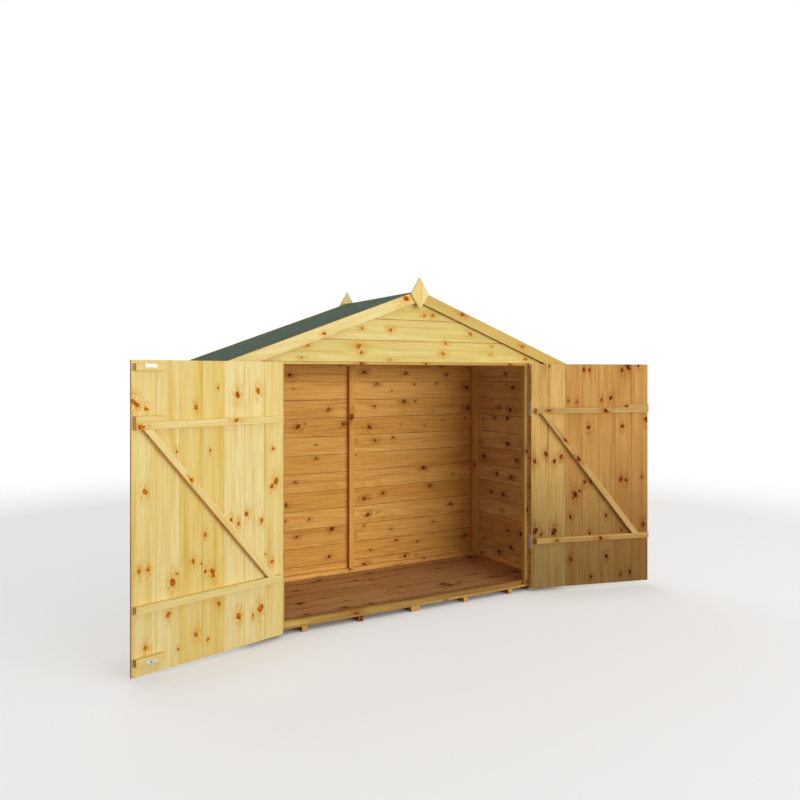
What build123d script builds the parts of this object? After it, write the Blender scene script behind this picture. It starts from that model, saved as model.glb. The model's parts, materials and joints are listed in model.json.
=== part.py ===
from build123d import *

import os
from math import atan2, cos, radians, sin, tan

# A small apex bike shelter in tongue-and-groove pine, with two ledged and braced doors.
# Millimetres. X runs across the front, Y from the front to the back, Z up. The origin lies
# on the ground, under the middle of the walls. The doors are modelled folded back against
# the front, each turned about its own hinge pins.

# Overall sizes, over the outside of the cladding
shed_width = 2130
shed_depth = 870
eaves_height = 1436
roof_pitch = 20.29
roof_overhang_side = 75
roof_overhang_end = 10

# Timber sections
board_thickness = 12
frame_depth = 28
post_width = 40
back_post_width = 38
rail_height = 28
header_height = 28
ridge_rail_height = 40
ledge_width = 33
ledge_depth = 28

# Floor
bearer_height = 30
bearer_width = 30
bearer_spacing = 337.5
bearers_per_panel = 4
cladding_ground_gap = 10

# Doorway and doors
doorway_width = 1610
jamb_reveal = 26
header_reveal = 15
door_ground_gap = 23
door_head_gap = 5
door_hang_gap = 6
door_meeting_gap = 6
door_stop_gap = 5.5
left_door_open_angle = 165.2
right_door_open_angle = 164.2

# Ledges, braces and blocks on the inside of the doors
lower_ledge_height = 307
upper_ledge_height = 1120
ledge_free_inset = 10
ledge_jamb_gap = 5.5
left_brace_top_from_free_edge = 68
left_brace_foot_from_hinge_edge = 88
right_brace_top_from_hinge_edge = 78
right_brace_foot_from_free_edge = 105
lock_block_length = 145
left_lock_block_height = 28
right_lock_block_height = 20
bolt_block_length = 140
bolt_block_height = 33
bolt_block_gap = 5.5
bolt_plate_length = 54
bolt_plate_height = 15
bolt_plate_edge_gap = 2.5
bolt_plate_thickness = 1.5
bolt_hole_radius = 4

# Butt hinges
hinge_height = 90
lower_hinge_centre = 315
upper_hinge_centre = 1151
knuckle_radius = 4
knuckles_per_hinge = 5
knuckle_gap = 0.4
pin_radius = 2
pin_clearance = 0.05
pin_head_radius = 3.2
pin_head_height = 1.2
leaf_thickness = 1.5
leaf_running_gap = 0.5

# Roof covering, bargeboards and finials
felt_thickness = 3
felt_turn_down = 30
bargeboard_thickness = 16
bargeboard_depth = 67
bargeboard_rise_over_felt = 2
finial_width = 118
finial_height = 185
finial_shoulder = 97
finial_rise = 73
finial_thickness = 12

# Sizes that follow from those above
slope = tan(radians(roof_pitch))
half_width = shed_width / 2
frame_half_width = half_width - board_thickness
post_inside = frame_half_width - frame_depth
frame_half_depth = shed_depth / 2 - board_thickness
front_face = -frame_half_depth
back_inside = frame_half_depth - frame_depth
floor_top = bearer_height + board_thickness
rail_top = floor_top + rail_height
header_bottom = eaves_height - header_reveal
header_top = header_bottom + header_height
roof_half_width = half_width + roof_overhang_side
roof_half_length = shed_depth / 2 + roof_overhang_end
jamb_inside = doorway_width / 2
cladding_edge = jamb_inside + jamb_reveal

door_edge = cladding_edge - door_hang_gap
door_width = door_edge - door_meeting_gap / 2
door_top = eaves_height - door_head_gap
ledge_hinge_inset = door_edge - jamb_inside + ledge_jamb_gap

# The pin stands in the middle of the hanging gap, just clear of the closed door's outer face
pin_x = cladding_edge - door_hang_gap / 2
door_outer_offset = knuckle_radius + leaf_running_gap
door_inner_offset = door_outer_offset + board_thickness
pin_y = front_face - door_stop_gap - door_inner_offset
edge_offset = door_hang_gap / 2

LEFT = -1
RIGHT = 1
open_angles = {LEFT: left_door_open_angle, RIGHT: right_door_open_angle}
side_names = {LEFT: "left", RIGHT: "right"}

os.makedirs("parts", exist_ok=True)


def save(piece, name):
    """Label a finished piece and write it under the same name."""
    piece.part.label = name
    export_step(piece.part, f"parts/{name}.step")


def roof_underside(x):
    """Height of the underside of the roof boards at a distance from the ridge."""
    return eaves_height + (half_width - abs(x)) * slope


def slope_drop(thickness):
    """Vertical measure of a layer that has this thickness square to the roof slope."""
    return thickness / cos(radians(roof_pitch))


def cross_section(y):
    """Plane across the shed at this depth, drawn with X across and Z up, facing the back."""
    return Plane(origin=(0, y, 0), x_dir=(-1, 0, 0), z_dir=(0, 1, 0))


def box_between(low, high):
    """Block between two opposite corners, joined to the part that is being made."""
    size = [b - a for a, b in zip(low, high)]
    with Locations(low):
        Box(*size, align=(Align.MIN, Align.MIN, Align.MIN))


def prism_across(y_start, y_end, outline):
    """Extrude an outline of (x, z) points from one depth to another."""
    with BuildSketch(cross_section(y_start)) as profile:
        with BuildLine():
            Polyline(*[(-x, z) for x, z in outline], close=True)
        make_face()
    extrude(profile.sketch, amount=y_end - y_start)


def floor_panel(side):
    """Half of the floor: its bearers run to the back, its boards run across them."""
    with BuildPart() as bearers:
        for index in range(bearers_per_panel):
            centre = side * (bearer_width / 2 + index * bearer_spacing)
            box_between(
                (centre - bearer_width / 2, -frame_half_depth, 0),
                (centre + bearer_width / 2, frame_half_depth, bearer_height),
            )
    save(bearers, f"floor_bearers_{side_names[side]}")

    with BuildPart() as boards:
        box_between(
            (min(0, side * frame_half_width), -frame_half_depth, bearer_height),
            (max(0, side * frame_half_width), frame_half_depth, floor_top),
        )
    save(boards, f"floor_boards_{side_names[side]}")


def front_frame():
    """Bottom rail, door jambs and header that frame the doorway."""
    with BuildPart() as bottom_rail:
        box_between(
            (-post_inside, front_face, floor_top),
            (post_inside, front_face + frame_depth, rail_top),
        )
    save(bottom_rail, "front_bottom_rail")

    with BuildPart() as jambs:
        for side in (LEFT, RIGHT):
            near, far = sorted((side * jamb_inside, side * (jamb_inside + post_width)))
            box_between(
                (near, front_face, rail_top),
                (far, front_face + frame_depth, header_bottom),
            )
    save(jambs, "door_jambs")

    with BuildPart() as header:
        box_between(
            (-post_inside, front_face, header_bottom),
            (post_inside, front_face + frame_depth, header_top),
        )
    save(header, "header_rail")


def front_cladding(side):
    """Cladding beside the doorway, from the hinges out to the corner."""
    near, far = sorted((side * cladding_edge, side * half_width))
    with BuildPart() as cladding:
        box_between(
            (near, front_face - board_thickness, cladding_ground_gap),
            (far, front_face, eaves_height),
        )
    save(cladding, f"front_cladding_{side_names[side]}")


def gable_cladding(y_start, name):
    """Triangle of cladding above the eaves, up to the underside of the roof."""
    with BuildPart() as gable:
        prism_across(
            y_start,
            y_start + board_thickness,
            [(-half_width, eaves_height), (half_width, eaves_height), (0, roof_underside(0))],
        )
    save(gable, name)


def side_wall(side):
    """One end wall: cladding outside, with its corner posts and rails bevelled to the roof."""
    outer = side * half_width
    frame_outer = side * frame_half_width
    frame_inner = side * post_inside

    with BuildPart() as cladding:
        prism_across(
            -frame_half_depth,
            frame_half_depth,
            [
                (frame_outer, cladding_ground_gap),
                (outer, cladding_ground_gap),
                (outer, roof_underside(outer)),
                (frame_outer, roof_underside(frame_outer)),
            ],
        )
    save(cladding, f"{side_names[side]}_wall_cladding")

    def framing(bottom, y_start, y_end):
        prism_across(
            y_start,
            y_end,
            [
                (frame_inner, bottom),
                (frame_outer, bottom),
                (frame_outer, roof_underside(frame_outer)),
                (frame_inner, roof_underside(frame_inner)),
            ],
        )

    with BuildPart() as posts:
        framing(floor_top, -frame_half_depth, -frame_half_depth + frame_depth)
        framing(floor_top, back_inside, frame_half_depth)
    save(posts, f"{side_names[side]}_wall_posts")

    near, far = sorted((frame_inner, frame_outer))
    with BuildPart() as rails:
        box_between((near, -back_inside, floor_top), (far, back_inside, rail_top))
        framing(roof_underside(frame_outer) - header_height, -back_inside, back_inside)
    save(rails, f"{side_names[side]}_wall_rails")


def back_wall():
    """Closed back wall: one sheet of cladding on three posts between two rails."""
    with BuildPart() as cladding:
        box_between(
            (-half_width, frame_half_depth, cladding_ground_gap),
            (half_width, frame_half_depth + board_thickness, eaves_height),
        )
    save(cladding, "back_wall_cladding")

    end_post_centre = post_inside - post_width / 2
    with BuildPart() as posts:
        for centre, width in (
            (-end_post_centre, post_width),
            (0, back_post_width),
            (end_post_centre, post_width),
        ):
            box_between(
                (centre - width / 2, back_inside, rail_top),
                (centre + width / 2, frame_half_depth, header_bottom),
            )
    save(posts, "back_wall_posts")

    with BuildPart() as rails:
        for bottom, top in ((floor_top, rail_top), (header_bottom, header_top)):
            box_between(
                (-post_inside, back_inside, bottom), (post_inside, frame_half_depth, top)
            )
    save(rails, "back_wall_rails")


def ridge_rail():
    """Rail under the ridge from gable to gable, with its top planed to both slopes."""
    half = frame_depth / 2
    peak = roof_underside(0)
    with BuildPart() as rail:
        prism_across(
            -frame_half_depth,
            frame_half_depth,
            [
                (-half, peak - ridge_rail_height),
                (half, peak - ridge_rail_height),
                (half, roof_underside(half)),
                (0, peak),
                (-half, roof_underside(half)),
            ],
        )
    save(rail, "ridge_rail")


def gable_rafters():
    """Rafters inside both gables, from the header up to the ridge rail."""
    head = frame_depth / 2
    drop = slope_drop(frame_depth)
    toe = half_width - (header_top + drop - eaves_height) / slope
    with BuildPart() as rafters:
        for y_start in (front_face, back_inside):
            for side in (LEFT, RIGHT):
                prism_across(
                    y_start,
                    y_start + frame_depth,
                    [
                        (side * head, roof_underside(head)),
                        (side * head, roof_underside(head) - drop),
                        (side * toe, header_top),
                        (side * post_inside, header_top),
                        (side * post_inside, roof_underside(post_inside)),
                    ],
                )
    save(rafters, "gable_rafters")


def roof_boards(side):
    """One slope of roof boards, mitred at the ridge and cut plumb at the eaves."""
    thickness = slope_drop(board_thickness)
    outer = side * roof_half_width
    with BuildPart() as boards:
        prism_across(
            -roof_half_length,
            roof_half_length,
            [
                (0, roof_underside(0)),
                (outer, roof_underside(outer)),
                (outer, roof_underside(outer) + thickness),
                (0, roof_underside(0) + thickness),
            ],
        )
    save(boards, f"roof_boards_{side_names[side]}")


def roof_felt():
    """Mineral felt laid over both slopes in one sheet and turned down at the eaves."""
    bed = slope_drop(board_thickness)
    top = bed + slope_drop(felt_thickness)
    lip = roof_half_width + felt_thickness
    eaves_bed = roof_underside(roof_half_width) + bed
    right_edge = [
        (roof_half_width, eaves_bed),
        (roof_half_width, eaves_bed - felt_turn_down),
        (lip, eaves_bed - felt_turn_down),
        (lip, roof_underside(lip) + top),
    ]
    left_edge = [(-x, z) for x, z in reversed(right_edge)]
    with BuildPart() as felt:
        prism_across(
            -roof_half_length,
            roof_half_length,
            [(0, roof_underside(0) + bed)]
            + right_edge
            + [(0, roof_underside(0) + top)]
            + left_edge,
        )
    save(felt, "roof_felt")


def bargeboard_top(x):
    """Height of the top edge of a bargeboard at a distance from the ridge."""
    covering = slope_drop(board_thickness) + slope_drop(felt_thickness)
    return roof_underside(x) + covering + bargeboard_rise_over_felt


def bargeboard(side, y_start, name):
    """Sloping board that closes one edge of the roof, cut plumb at the ridge and the eaves."""
    drop = bargeboard_depth
    outer = side * (roof_half_width + felt_thickness)
    with BuildPart() as board:
        prism_across(
            y_start,
            y_start + bargeboard_thickness,
            [
                (0, bargeboard_top(0)),
                (outer, bargeboard_top(outer)),
                (outer, bargeboard_top(outer) - drop),
                (0, bargeboard_top(0) - drop),
            ],
        )
    save(board, name)


def roof_finials():
    """Kite-shaped boards over the bargeboard joints, one at each end of the ridge."""
    tip = bargeboard_top(0) + finial_rise
    outline = [
        (0, tip),
        (finial_width / 2, tip - finial_shoulder),
        (0, tip - finial_height),
        (-finial_width / 2, tip - finial_shoulder),
    ]
    face = roof_half_length + bargeboard_thickness
    with BuildPart() as finials:
        prism_across(-face - finial_thickness, -face, outline)
        prism_across(face, face + finial_thickness, outline)
    save(finials, "roof_finials")


def inner_normal(side, angle):
    """Direction that the inside face of a door looks, after it has opened by this angle."""
    turn = radians(angle)
    return (-side * sin(turn), cos(turn), 0)


def door_plane(side, offset):
    """Upright plane along an open door, this far from its hinge pins, seen from the inside.

    The pins lie on the plane's local Y axis and the free edge is on the side of the door.
    """
    turn = radians(open_angles[side])
    face = Plane(
        origin=(side * pin_x, pin_y, 0),
        x_dir=(-cos(turn), -side * sin(turn), 0),
        z_dir=inner_normal(side, open_angles[side]),
    )
    return face.offset(offset)


def door_block(side, offset, depth, start, end, bottom, top):
    """Straight piece on a door, with start and end measured from the door's hinge edge."""
    centre = (start + end) / 2 + edge_offset
    with BuildSketch(door_plane(side, offset)) as face:
        with Locations((side * centre, (bottom + top) / 2)):
            Rectangle(end - start, top - bottom)
    extrude(face.sketch, amount=depth)


def door_boards(side):
    """The door itself: upright boards edge to edge, drawn as one slab."""
    with BuildPart() as boards:
        door_block(
            side, door_outer_offset, board_thickness, 0, door_width, door_ground_gap, door_top
        )
    save(boards, f"{side_names[side]}_door_boards")


def door_ledges(side):
    """The two level timbers that hold the boards together."""
    end = door_width - ledge_free_inset
    with BuildPart() as ledges:
        for bottom in (lower_ledge_height, upper_ledge_height):
            door_block(
                side,
                door_inner_offset,
                ledge_depth,
                ledge_hinge_inset,
                end,
                bottom,
                bottom + ledge_width,
            )
    save(ledges, f"{side_names[side]}_door_ledges")


def door_brace(side, top_centre, foot_centre):
    """Sloping timber between the ledges, with both ends cut level to bear on them."""
    foot_height = lower_ledge_height + ledge_width
    lean = atan2(upper_ledge_height - foot_height, abs(top_centre - foot_centre))
    half_cut = ledge_width / sin(lean) / 2
    outline = [
        (foot_centre - half_cut, foot_height),
        (foot_centre + half_cut, foot_height),
        (top_centre + half_cut, upper_ledge_height),
        (top_centre - half_cut, upper_ledge_height),
    ]
    with BuildPart() as brace:
        with BuildSketch(door_plane(side, door_inner_offset)):
            with BuildLine():
                Polyline(*[(side * (x + edge_offset), z) for x, z in outline], close=True)
            make_face()
        extrude(amount=ledge_depth)
    save(brace, f"{side_names[side]}_door_brace")


def lock_block(side, height):
    """Block that thickens the upper ledge behind the lock."""
    end = door_width - ledge_free_inset
    bottom = upper_ledge_height + ledge_width
    with BuildPart() as block:
        door_block(
            side,
            door_inner_offset,
            ledge_depth,
            end - lock_block_length,
            end,
            bottom,
            bottom + height,
        )
    save(block, f"{side_names[side]}_door_lock_block")


def bolt_blocks_and_plates(side):
    """Blocks at the head and foot of the door, each with a small steel bolt plate.

    The plates sit close to the outer edges of the blocks, where the bolts come out.
    """
    end = door_width - ledge_free_inset
    foot_bottom = rail_top + bolt_block_gap
    head_bottom = header_bottom - bolt_block_gap - bolt_block_height
    with BuildPart() as blocks:
        for bottom in (foot_bottom, head_bottom):
            door_block(
                side,
                door_inner_offset,
                ledge_depth,
                end - bolt_block_length,
                end,
                bottom,
                bottom + bolt_block_height,
            )
    save(blocks, f"{side_names[side]}_door_bolt_blocks")

    plate_middle = end - bolt_block_length / 2
    face = door_inner_offset + ledge_depth
    foot_plate_bottom = foot_bottom + bolt_plate_edge_gap
    head_plate_top = head_bottom + bolt_block_height - bolt_plate_edge_gap
    with BuildPart() as plates:
        for bottom in (foot_plate_bottom, head_plate_top - bolt_plate_height):
            door_block(
                side,
                face,
                bolt_plate_thickness,
                plate_middle - bolt_plate_length / 2,
                plate_middle + bolt_plate_length / 2,
                bottom,
                bottom + bolt_plate_height,
            )
        hole_x = side * (plate_middle + edge_offset)
        with BuildSketch(door_plane(side, face)):
            with Locations((hole_x, foot_plate_bottom + bolt_plate_height / 2)):
                Circle(bolt_hole_radius)
        extrude(amount=bolt_plate_thickness, mode=Mode.SUBTRACT)
    save(plates, f"{side_names[side]}_door_bolt_plates")


def hinge_plane(side, angle, height):
    """Level plane on the hinge pin, with local X along the inner normal of the leaf's door."""
    return Plane(
        origin=(side * pin_x, pin_y, height),
        x_dir=inner_normal(side, angle),
        z_dir=(0, 0, 1),
    )


def hinge_leaves(side, angle, leaf_side, plate_end, knuckles, name):
    """Upper and lower hinge leaves: a flat plate with its own share of the rolled knuckles.

    leaf_side is +1 towards the door's free edge and -1 towards the frame. The plate stops
    short of the knuckles, and a tab joins it to each knuckle that belongs to it.
    """
    pitch = hinge_height / knuckles_per_hinge
    plate_start = door_outer_offset
    plate_centre = side * leaf_side * (edge_offset - leaf_thickness / 2)
    with BuildPart() as leaves:
        for centre in (lower_hinge_centre, upper_hinge_centre):
            base = hinge_plane(side, angle, centre - hinge_height / 2)
            with BuildSketch(base):
                with Locations(((plate_start + plate_end) / 2, plate_centre)):
                    Rectangle(plate_end - plate_start, leaf_thickness)
            extrude(amount=hinge_height)
            for index in knuckles:
                with BuildSketch(base.offset(index * pitch + knuckle_gap / 2)):
                    Circle(knuckle_radius)
                    with Locations((plate_start / 2, plate_centre)):
                        Rectangle(plate_start, leaf_thickness)
                extrude(amount=pitch - knuckle_gap)
            with BuildSketch(base):
                Circle(pin_radius + pin_clearance)
            extrude(amount=hinge_height, mode=Mode.SUBTRACT)
    save(leaves, name)


def hinge_pins():
    """Pins through all four hinges, held by a riveted head at each end."""
    with BuildPart() as pins:
        for side in (LEFT, RIGHT):
            for centre in (lower_hinge_centre, upper_hinge_centre):
                base = hinge_plane(side, 0, centre - hinge_height / 2)
                with BuildSketch(base):
                    Circle(pin_radius)
                extrude(amount=hinge_height)
                for head in (-pin_head_height, hinge_height):
                    with BuildSketch(base.offset(head)):
                        Circle(pin_head_radius)
                    extrude(amount=pin_head_height)
    save(pins, "hinge_pins")


for side in (LEFT, RIGHT):
    floor_panel(side)
    front_cladding(side)
    side_wall(side)
    roof_boards(side)
    bargeboard(
        side, -roof_half_length - bargeboard_thickness, f"front_bargeboard_{side_names[side]}"
    )
    bargeboard(side, roof_half_length, f"back_bargeboard_{side_names[side]}")

front_frame()
back_wall()
gable_cladding(front_face - board_thickness, "front_gable_cladding")
gable_cladding(frame_half_depth, "back_gable_cladding")
ridge_rail()
gable_rafters()
roof_felt()
roof_finials()

fixed_knuckles = range(0, knuckles_per_hinge, 2)
door_knuckles = range(1, knuckles_per_hinge, 2)
for side in (LEFT, RIGHT):
    door_boards(side)
    door_ledges(side)
    hinge_leaves(
        side,
        0,
        -1,
        front_face - pin_y,
        fixed_knuckles,
        f"{side_names[side]}_frame_hinge_leaves",
    )
    hinge_leaves(
        side,
        open_angles[side],
        1,
        door_inner_offset,
        door_knuckles,
        f"{side_names[side]}_door_hinge_leaves",
    )
hinge_pins()

door_brace(
    LEFT, door_width - left_brace_top_from_free_edge, left_brace_foot_from_hinge_edge
)
door_brace(
    RIGHT, right_brace_top_from_hinge_edge, door_width - right_brace_foot_from_free_edge
)
lock_block(LEFT, left_lock_block_height)
lock_block(RIGHT, right_lock_block_height)
bolt_blocks_and_plates(LEFT)
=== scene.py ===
# %% [markdown]
# A small apex bike shelter in pine. Its walls, floor, roof and doors are panels of tongued and
# grooved boards nailed to light framing. This notebook loads the joiner's model, which holds
# every size, and dresses it: each panel is cut into its boards, each timber gets planed arrises
# and its own grain, and the nails, screws, felt and hinges get their finish.

# %% Load the frame
import json
import random
from collections import namedtuple
from contextlib import contextmanager
from math import cos, pi, radians, sin

import bmesh
import bpy
import numpy as np
from mathutils import Matrix, Vector

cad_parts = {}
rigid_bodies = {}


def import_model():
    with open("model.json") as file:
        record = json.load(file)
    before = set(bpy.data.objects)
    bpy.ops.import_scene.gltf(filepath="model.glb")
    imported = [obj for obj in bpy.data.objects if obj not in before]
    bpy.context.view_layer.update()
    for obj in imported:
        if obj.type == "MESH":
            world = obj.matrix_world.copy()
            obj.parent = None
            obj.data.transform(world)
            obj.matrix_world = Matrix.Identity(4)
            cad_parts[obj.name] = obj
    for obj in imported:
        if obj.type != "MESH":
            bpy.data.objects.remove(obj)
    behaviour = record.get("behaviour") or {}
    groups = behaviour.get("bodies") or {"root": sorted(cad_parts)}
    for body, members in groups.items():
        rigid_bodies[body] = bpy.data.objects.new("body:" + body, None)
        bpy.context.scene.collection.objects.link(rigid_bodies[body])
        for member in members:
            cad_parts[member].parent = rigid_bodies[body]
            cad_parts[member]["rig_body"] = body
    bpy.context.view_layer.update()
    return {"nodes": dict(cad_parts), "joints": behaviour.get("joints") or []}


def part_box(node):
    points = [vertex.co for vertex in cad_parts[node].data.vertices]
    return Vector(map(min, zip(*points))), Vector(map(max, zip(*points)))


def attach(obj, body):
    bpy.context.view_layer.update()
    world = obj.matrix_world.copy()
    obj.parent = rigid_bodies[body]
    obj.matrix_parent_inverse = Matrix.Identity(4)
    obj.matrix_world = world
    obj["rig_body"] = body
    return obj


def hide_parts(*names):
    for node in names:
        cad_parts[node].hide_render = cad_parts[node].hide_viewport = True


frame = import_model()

nodes = frame["nodes"]
chance = random.Random(11)
SIDES = (("left", -1), ("right", 1))
ORIGIN = Vector((0, 0, 0))
X = Vector((1, 0, 0))
Y = Vector((0, 1, 0))
Z = Vector((0, 0, 1))

# %% [markdown]
# The camera stands at chest height, a little to the left of the doorway, and is held level. A
# level camera keeps the upright boards upright, so the picture is moved up or down with the lens
# shift instead of by tilting the camera.

# %% Camera
camera_data = bpy.data.cameras.new("camera")
camera_data.lens = 34.16
camera_data.sensor_width = 36
camera_data.shift_y = -0.03175
camera = bpy.data.objects.new("camera", camera_data)
camera.location = (-2.285, -4.157, 1.365)
camera.rotation_euler = (radians(90), 0, radians(-30.28))
bpy.context.scene.collection.objects.link(camera)
bpy.context.scene.camera = camera
bpy.context.scene.view_settings.view_transform = "Standard"
print("camera at", tuple(camera.location))

# %% [markdown]
# A finish in Blender is a net of small nodes, and each does one sum. Placed and linked one by
# one, they make a long list in which nobody sees the sum. Here what flows out of a node is
# wrapped, so that plus, minus and times place the node that they stand for, and the recipe of a
# finish reads as a formula.

# %% Flows between nodes
class Flow:
    """What flows out of a socket. A sum with it places the node that works it out."""

    def __init__(self, socket):
        self.socket = socket
        self.tree = socket.id_data
        self.is_number = socket.type == "VALUE"

    def maths(self, operation, *others):
        """Result of a Math node, or of a Vector Math node for a vector or a colour."""
        kind = "Math" if self.is_number else "VectorMath"
        return flow(self.tree, kind, 0, dict(enumerate((self, *others))), operation=operation)

    def __add__(self, other):
        return self.maths("ADD", other)

    def __sub__(self, other):
        return self.maths("SUBTRACT", other)

    def __mul__(self, other):
        by_number = isinstance(other, (int, float)) or getattr(other, "is_number", False)
        if by_number and not self.is_number:
            return flow(self.tree, "VectorMath", 0, {0: self, "Scale": other}, operation="SCALE")
        return self.maths("MULTIPLY", other)

    def __truediv__(self, other):
        return self.maths("DIVIDE", other)

    def __rtruediv__(self, other):
        return flow(self.tree, "Math", 0, {0: other, 1: self}, operation="DIVIDE")

    def __pow__(self, other):
        return self.maths("POWER", other)

    def clamped(self):
        """The same number, held between 0 and 1."""
        self.socket.node.use_clamp = True
        return self

    def length(self):
        """Length of a vector."""
        return flow(self.tree, "VectorMath", "Value", {0: self}, operation="LENGTH")

    def parts(self):
        """The three numbers of a vector."""
        node = shader_node(self.tree, "SeparateXYZ", {0: self})
        return [Flow(socket) for socket in node.outputs]


# %% [markdown]
# All finishes rest on three functions: one gives a socket its value, one places a node with its
# settings, and one gives what flows out of a new node.

# %% Placing a node
def put(socket, value):
    """Give a socket its value: a flow from another socket, or a plain number or vector."""
    if isinstance(value, Flow):
        socket.id_data.links.new(value.socket, socket)
    else:
        socket.default_value = value


def shader_node(tree, kind, inputs=None, **settings):
    """New node with its settings, and with values or flows for its inputs."""
    node = tree.nodes.new("ShaderNode" + kind)
    for name, value in settings.items():
        setattr(node, name, value)
    for label, value in (inputs or {}).items():
        put(node.inputs[label], value)
    return node


def flow(tree, kind, output, inputs=None, **settings):
    """What flows out of one output of a new node."""
    return Flow(shader_node(tree, kind, inputs, **settings).outputs[output])


# %% [markdown]
# Some sums take more than two values: a vector from three numbers, a smooth step, noise, and the
# mix of two colours. Each has a node of its own, and a short function that places it. Colours are
# written as screen colours, which are easy to compare, and a shader wants them linear.

# %% Sums that take more than two values
def combine(x, y=0.0, z=0.0):
    """Vector of three numbers, of which the first is a flow."""
    return flow(x.tree, "CombineXYZ", 0, {0: x, 1: y, 2: z})


def ramp(value, low, high, start=0.0, end=1.0):
    """Number that goes smoothly from start to end while the value goes from low to high."""
    inputs = {
        "Value": value, "From Min": low, "From Max": high, "To Min": start, "To Max": end,
    }
    return flow(value.tree, "MapRange", "Result", inputs, interpolation_type="SMOOTHSTEP")


def noise(place, scale, detail=2.0, roughness=0.5):
    """Noise from 0 to 1 at this many waves a metre."""
    inputs = {"Vector": place, "Scale": scale, "Detail": detail, "Roughness": roughness}
    return flow(place.tree, "TexNoise", "Fac", inputs)


def mix(factor, first, second, blend="MIX"):
    """Colour between two colours."""
    inputs = {"Factor": factor, "A": first, "B": second}
    return flow(factor.tree, "Mix", "Result", inputs, data_type="RGBA", blend_type=blend)


def srgb(code):
    """Linear colour for a shader from a hexadecimal screen colour."""
    parts = [int(code[i:i + 2], 16) / 255 for i in (1, 3, 5)]
    linear = (p / 12.92 if p < 0.04045 else ((p + 0.055) / 1.055) ** 2.4 for p in parts)
    return (*linear, 1)


print("a screen grey of #808080 is", round(srgb("#808080")[0], 3), "in a shader")


# %% [markdown]
# An effect that several finishes share is built once, as a node group with named inputs and
# outputs, and is placed in each finish with its own values. The sum itself is a recipe: a
# function that takes what flows in and gives back what flows out.

# %% Node groups and finishes
def node_group(name, recipe, takes, gives):
    """Node group that a recipe fills. takes has the inputs with their first values."""
    group = bpy.data.node_groups.new(name, "ShaderNodeTree")
    for label, value in takes.items():
        size = len(value) if isinstance(value, tuple) else 1
        kind = "NodeSocket" + {1: "Float", 3: "Vector", 4: "Color"}[size]
        socket = group.interface.new_socket(label, in_out="INPUT", socket_type=kind)
        socket.default_value = value
    given = group.nodes.new("NodeGroupInput").outputs
    results = recipe(*(Flow(given[label]) for label in takes))
    kinds = {"VALUE": "NodeSocketFloat", "VECTOR": "NodeSocketVector", "RGBA": "NodeSocketColor"}
    for label, result in zip(gives, results):
        kind = kinds[result.socket.type]
        group.interface.new_socket(label, in_out="OUTPUT", socket_type=kind)
    handed_on = group.nodes.new("NodeGroupOutput").inputs
    for label, result in zip(gives, results):
        put(handed_on[label], result)
    print("group", name, len(group.nodes), "nodes")
    return group


def place_group(tree, group, inputs):
    """Place a node group in a tree, and give what flows out of it, by name."""
    node = shader_node(tree, "Group", inputs, node_tree=group)
    return {socket.name: Flow(socket) for socket in node.outputs}


def new_finish(name, gloss):
    """New material with this much gloss, its tree and the inputs of its shader."""
    material = bpy.data.materials.new(name)
    material.use_nodes = True
    shader = material.node_tree.nodes["Principled BSDF"].inputs
    shader["Specular IOR Level"].default_value = gloss
    return material, material.node_tree, shader


def add_bump(shader, height, strength, distance):
    """Roughen a finish where the height changes, by a distance in metres."""
    inputs = {"Height": height, "Strength": strength, "Distance": distance}
    put(shader["Normal"], flow(height.tree, "Bump", "Normal", inputs))


def object_place(tree):
    """Place on the object, in metres."""
    return flow(tree, "TexCoord", "Object")


def what_shows(tree):
    """1 where the camera looks, straight or by a reflection or through glass, and else 0."""
    path = shader_node(tree, "LightPath").outputs
    shows = Flow(path["Is Camera Ray"])
    for ray in ("Is Glossy Ray", "Is Transmission Ray"):
        shows = shows.maths("MAXIMUM", Flow(path[ray]))
    return shows


# %% [markdown]
# The shelter is lit from the front and a little from the right, by light so low that it reaches
# in under the header: the left of the back wall is bright, and all that looks to the left falls
# into warm shade. A wide and low soft box does that. A weaker lamp from above models the roof
# and the arrises, another one shows the back, and the world gives a little even light. What the
# camera sees of the world is white.

# %% Light and backdrop
LIGHT_SIDE = 20
BOX_ELEVATION = 7
BOX_DISTANCE = 9
BOX_AIM = 0.8
SUN_SPREAD = 60
LAMP_WHITE = (1.0, 0.975, 0.93)
SKY_STRENGTH = 0.36
SKY_WHITE = (1.0, 0.98, 0.95, 1)


def add_lamp(kind, name, azimuth, height, power):
    """Lamp of this kind, so many degrees right of the front and above the ground."""
    lamp = bpy.data.lights.new(name, kind)
    lamp.energy = power
    lamp.color = LAMP_WHITE
    holder = bpy.data.objects.new(name, lamp)
    holder.rotation_euler = (radians(90 - height), 0, radians(azimuth))
    bpy.context.scene.collection.objects.link(holder)
    print(name, "azimuth", azimuth, "height", height, "power", power)
    return holder


soft_box = add_lamp("AREA", "soft_box", azimuth=LIGHT_SIDE, height=BOX_ELEVATION, power=532)
soft_box.data.shape = "RECTANGLE"
soft_box.data.size = 8
soft_box.data.size_y = 1.5
turn, rise = radians(LIGHT_SIDE), radians(BOX_ELEVATION)
soft_box.location = Z * BOX_AIM + Vector((sin(turn), -cos(turn), sin(rise))) * BOX_DISTANCE
for lamp in (
    add_lamp("SUN", "high_sun", azimuth=LIGHT_SIDE, height=55, power=0.45),
    add_lamp("SUN", "back_sun", azimuth=180, height=30, power=0.9),
):
    lamp.data.angle = radians(SUN_SPREAD)

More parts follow.
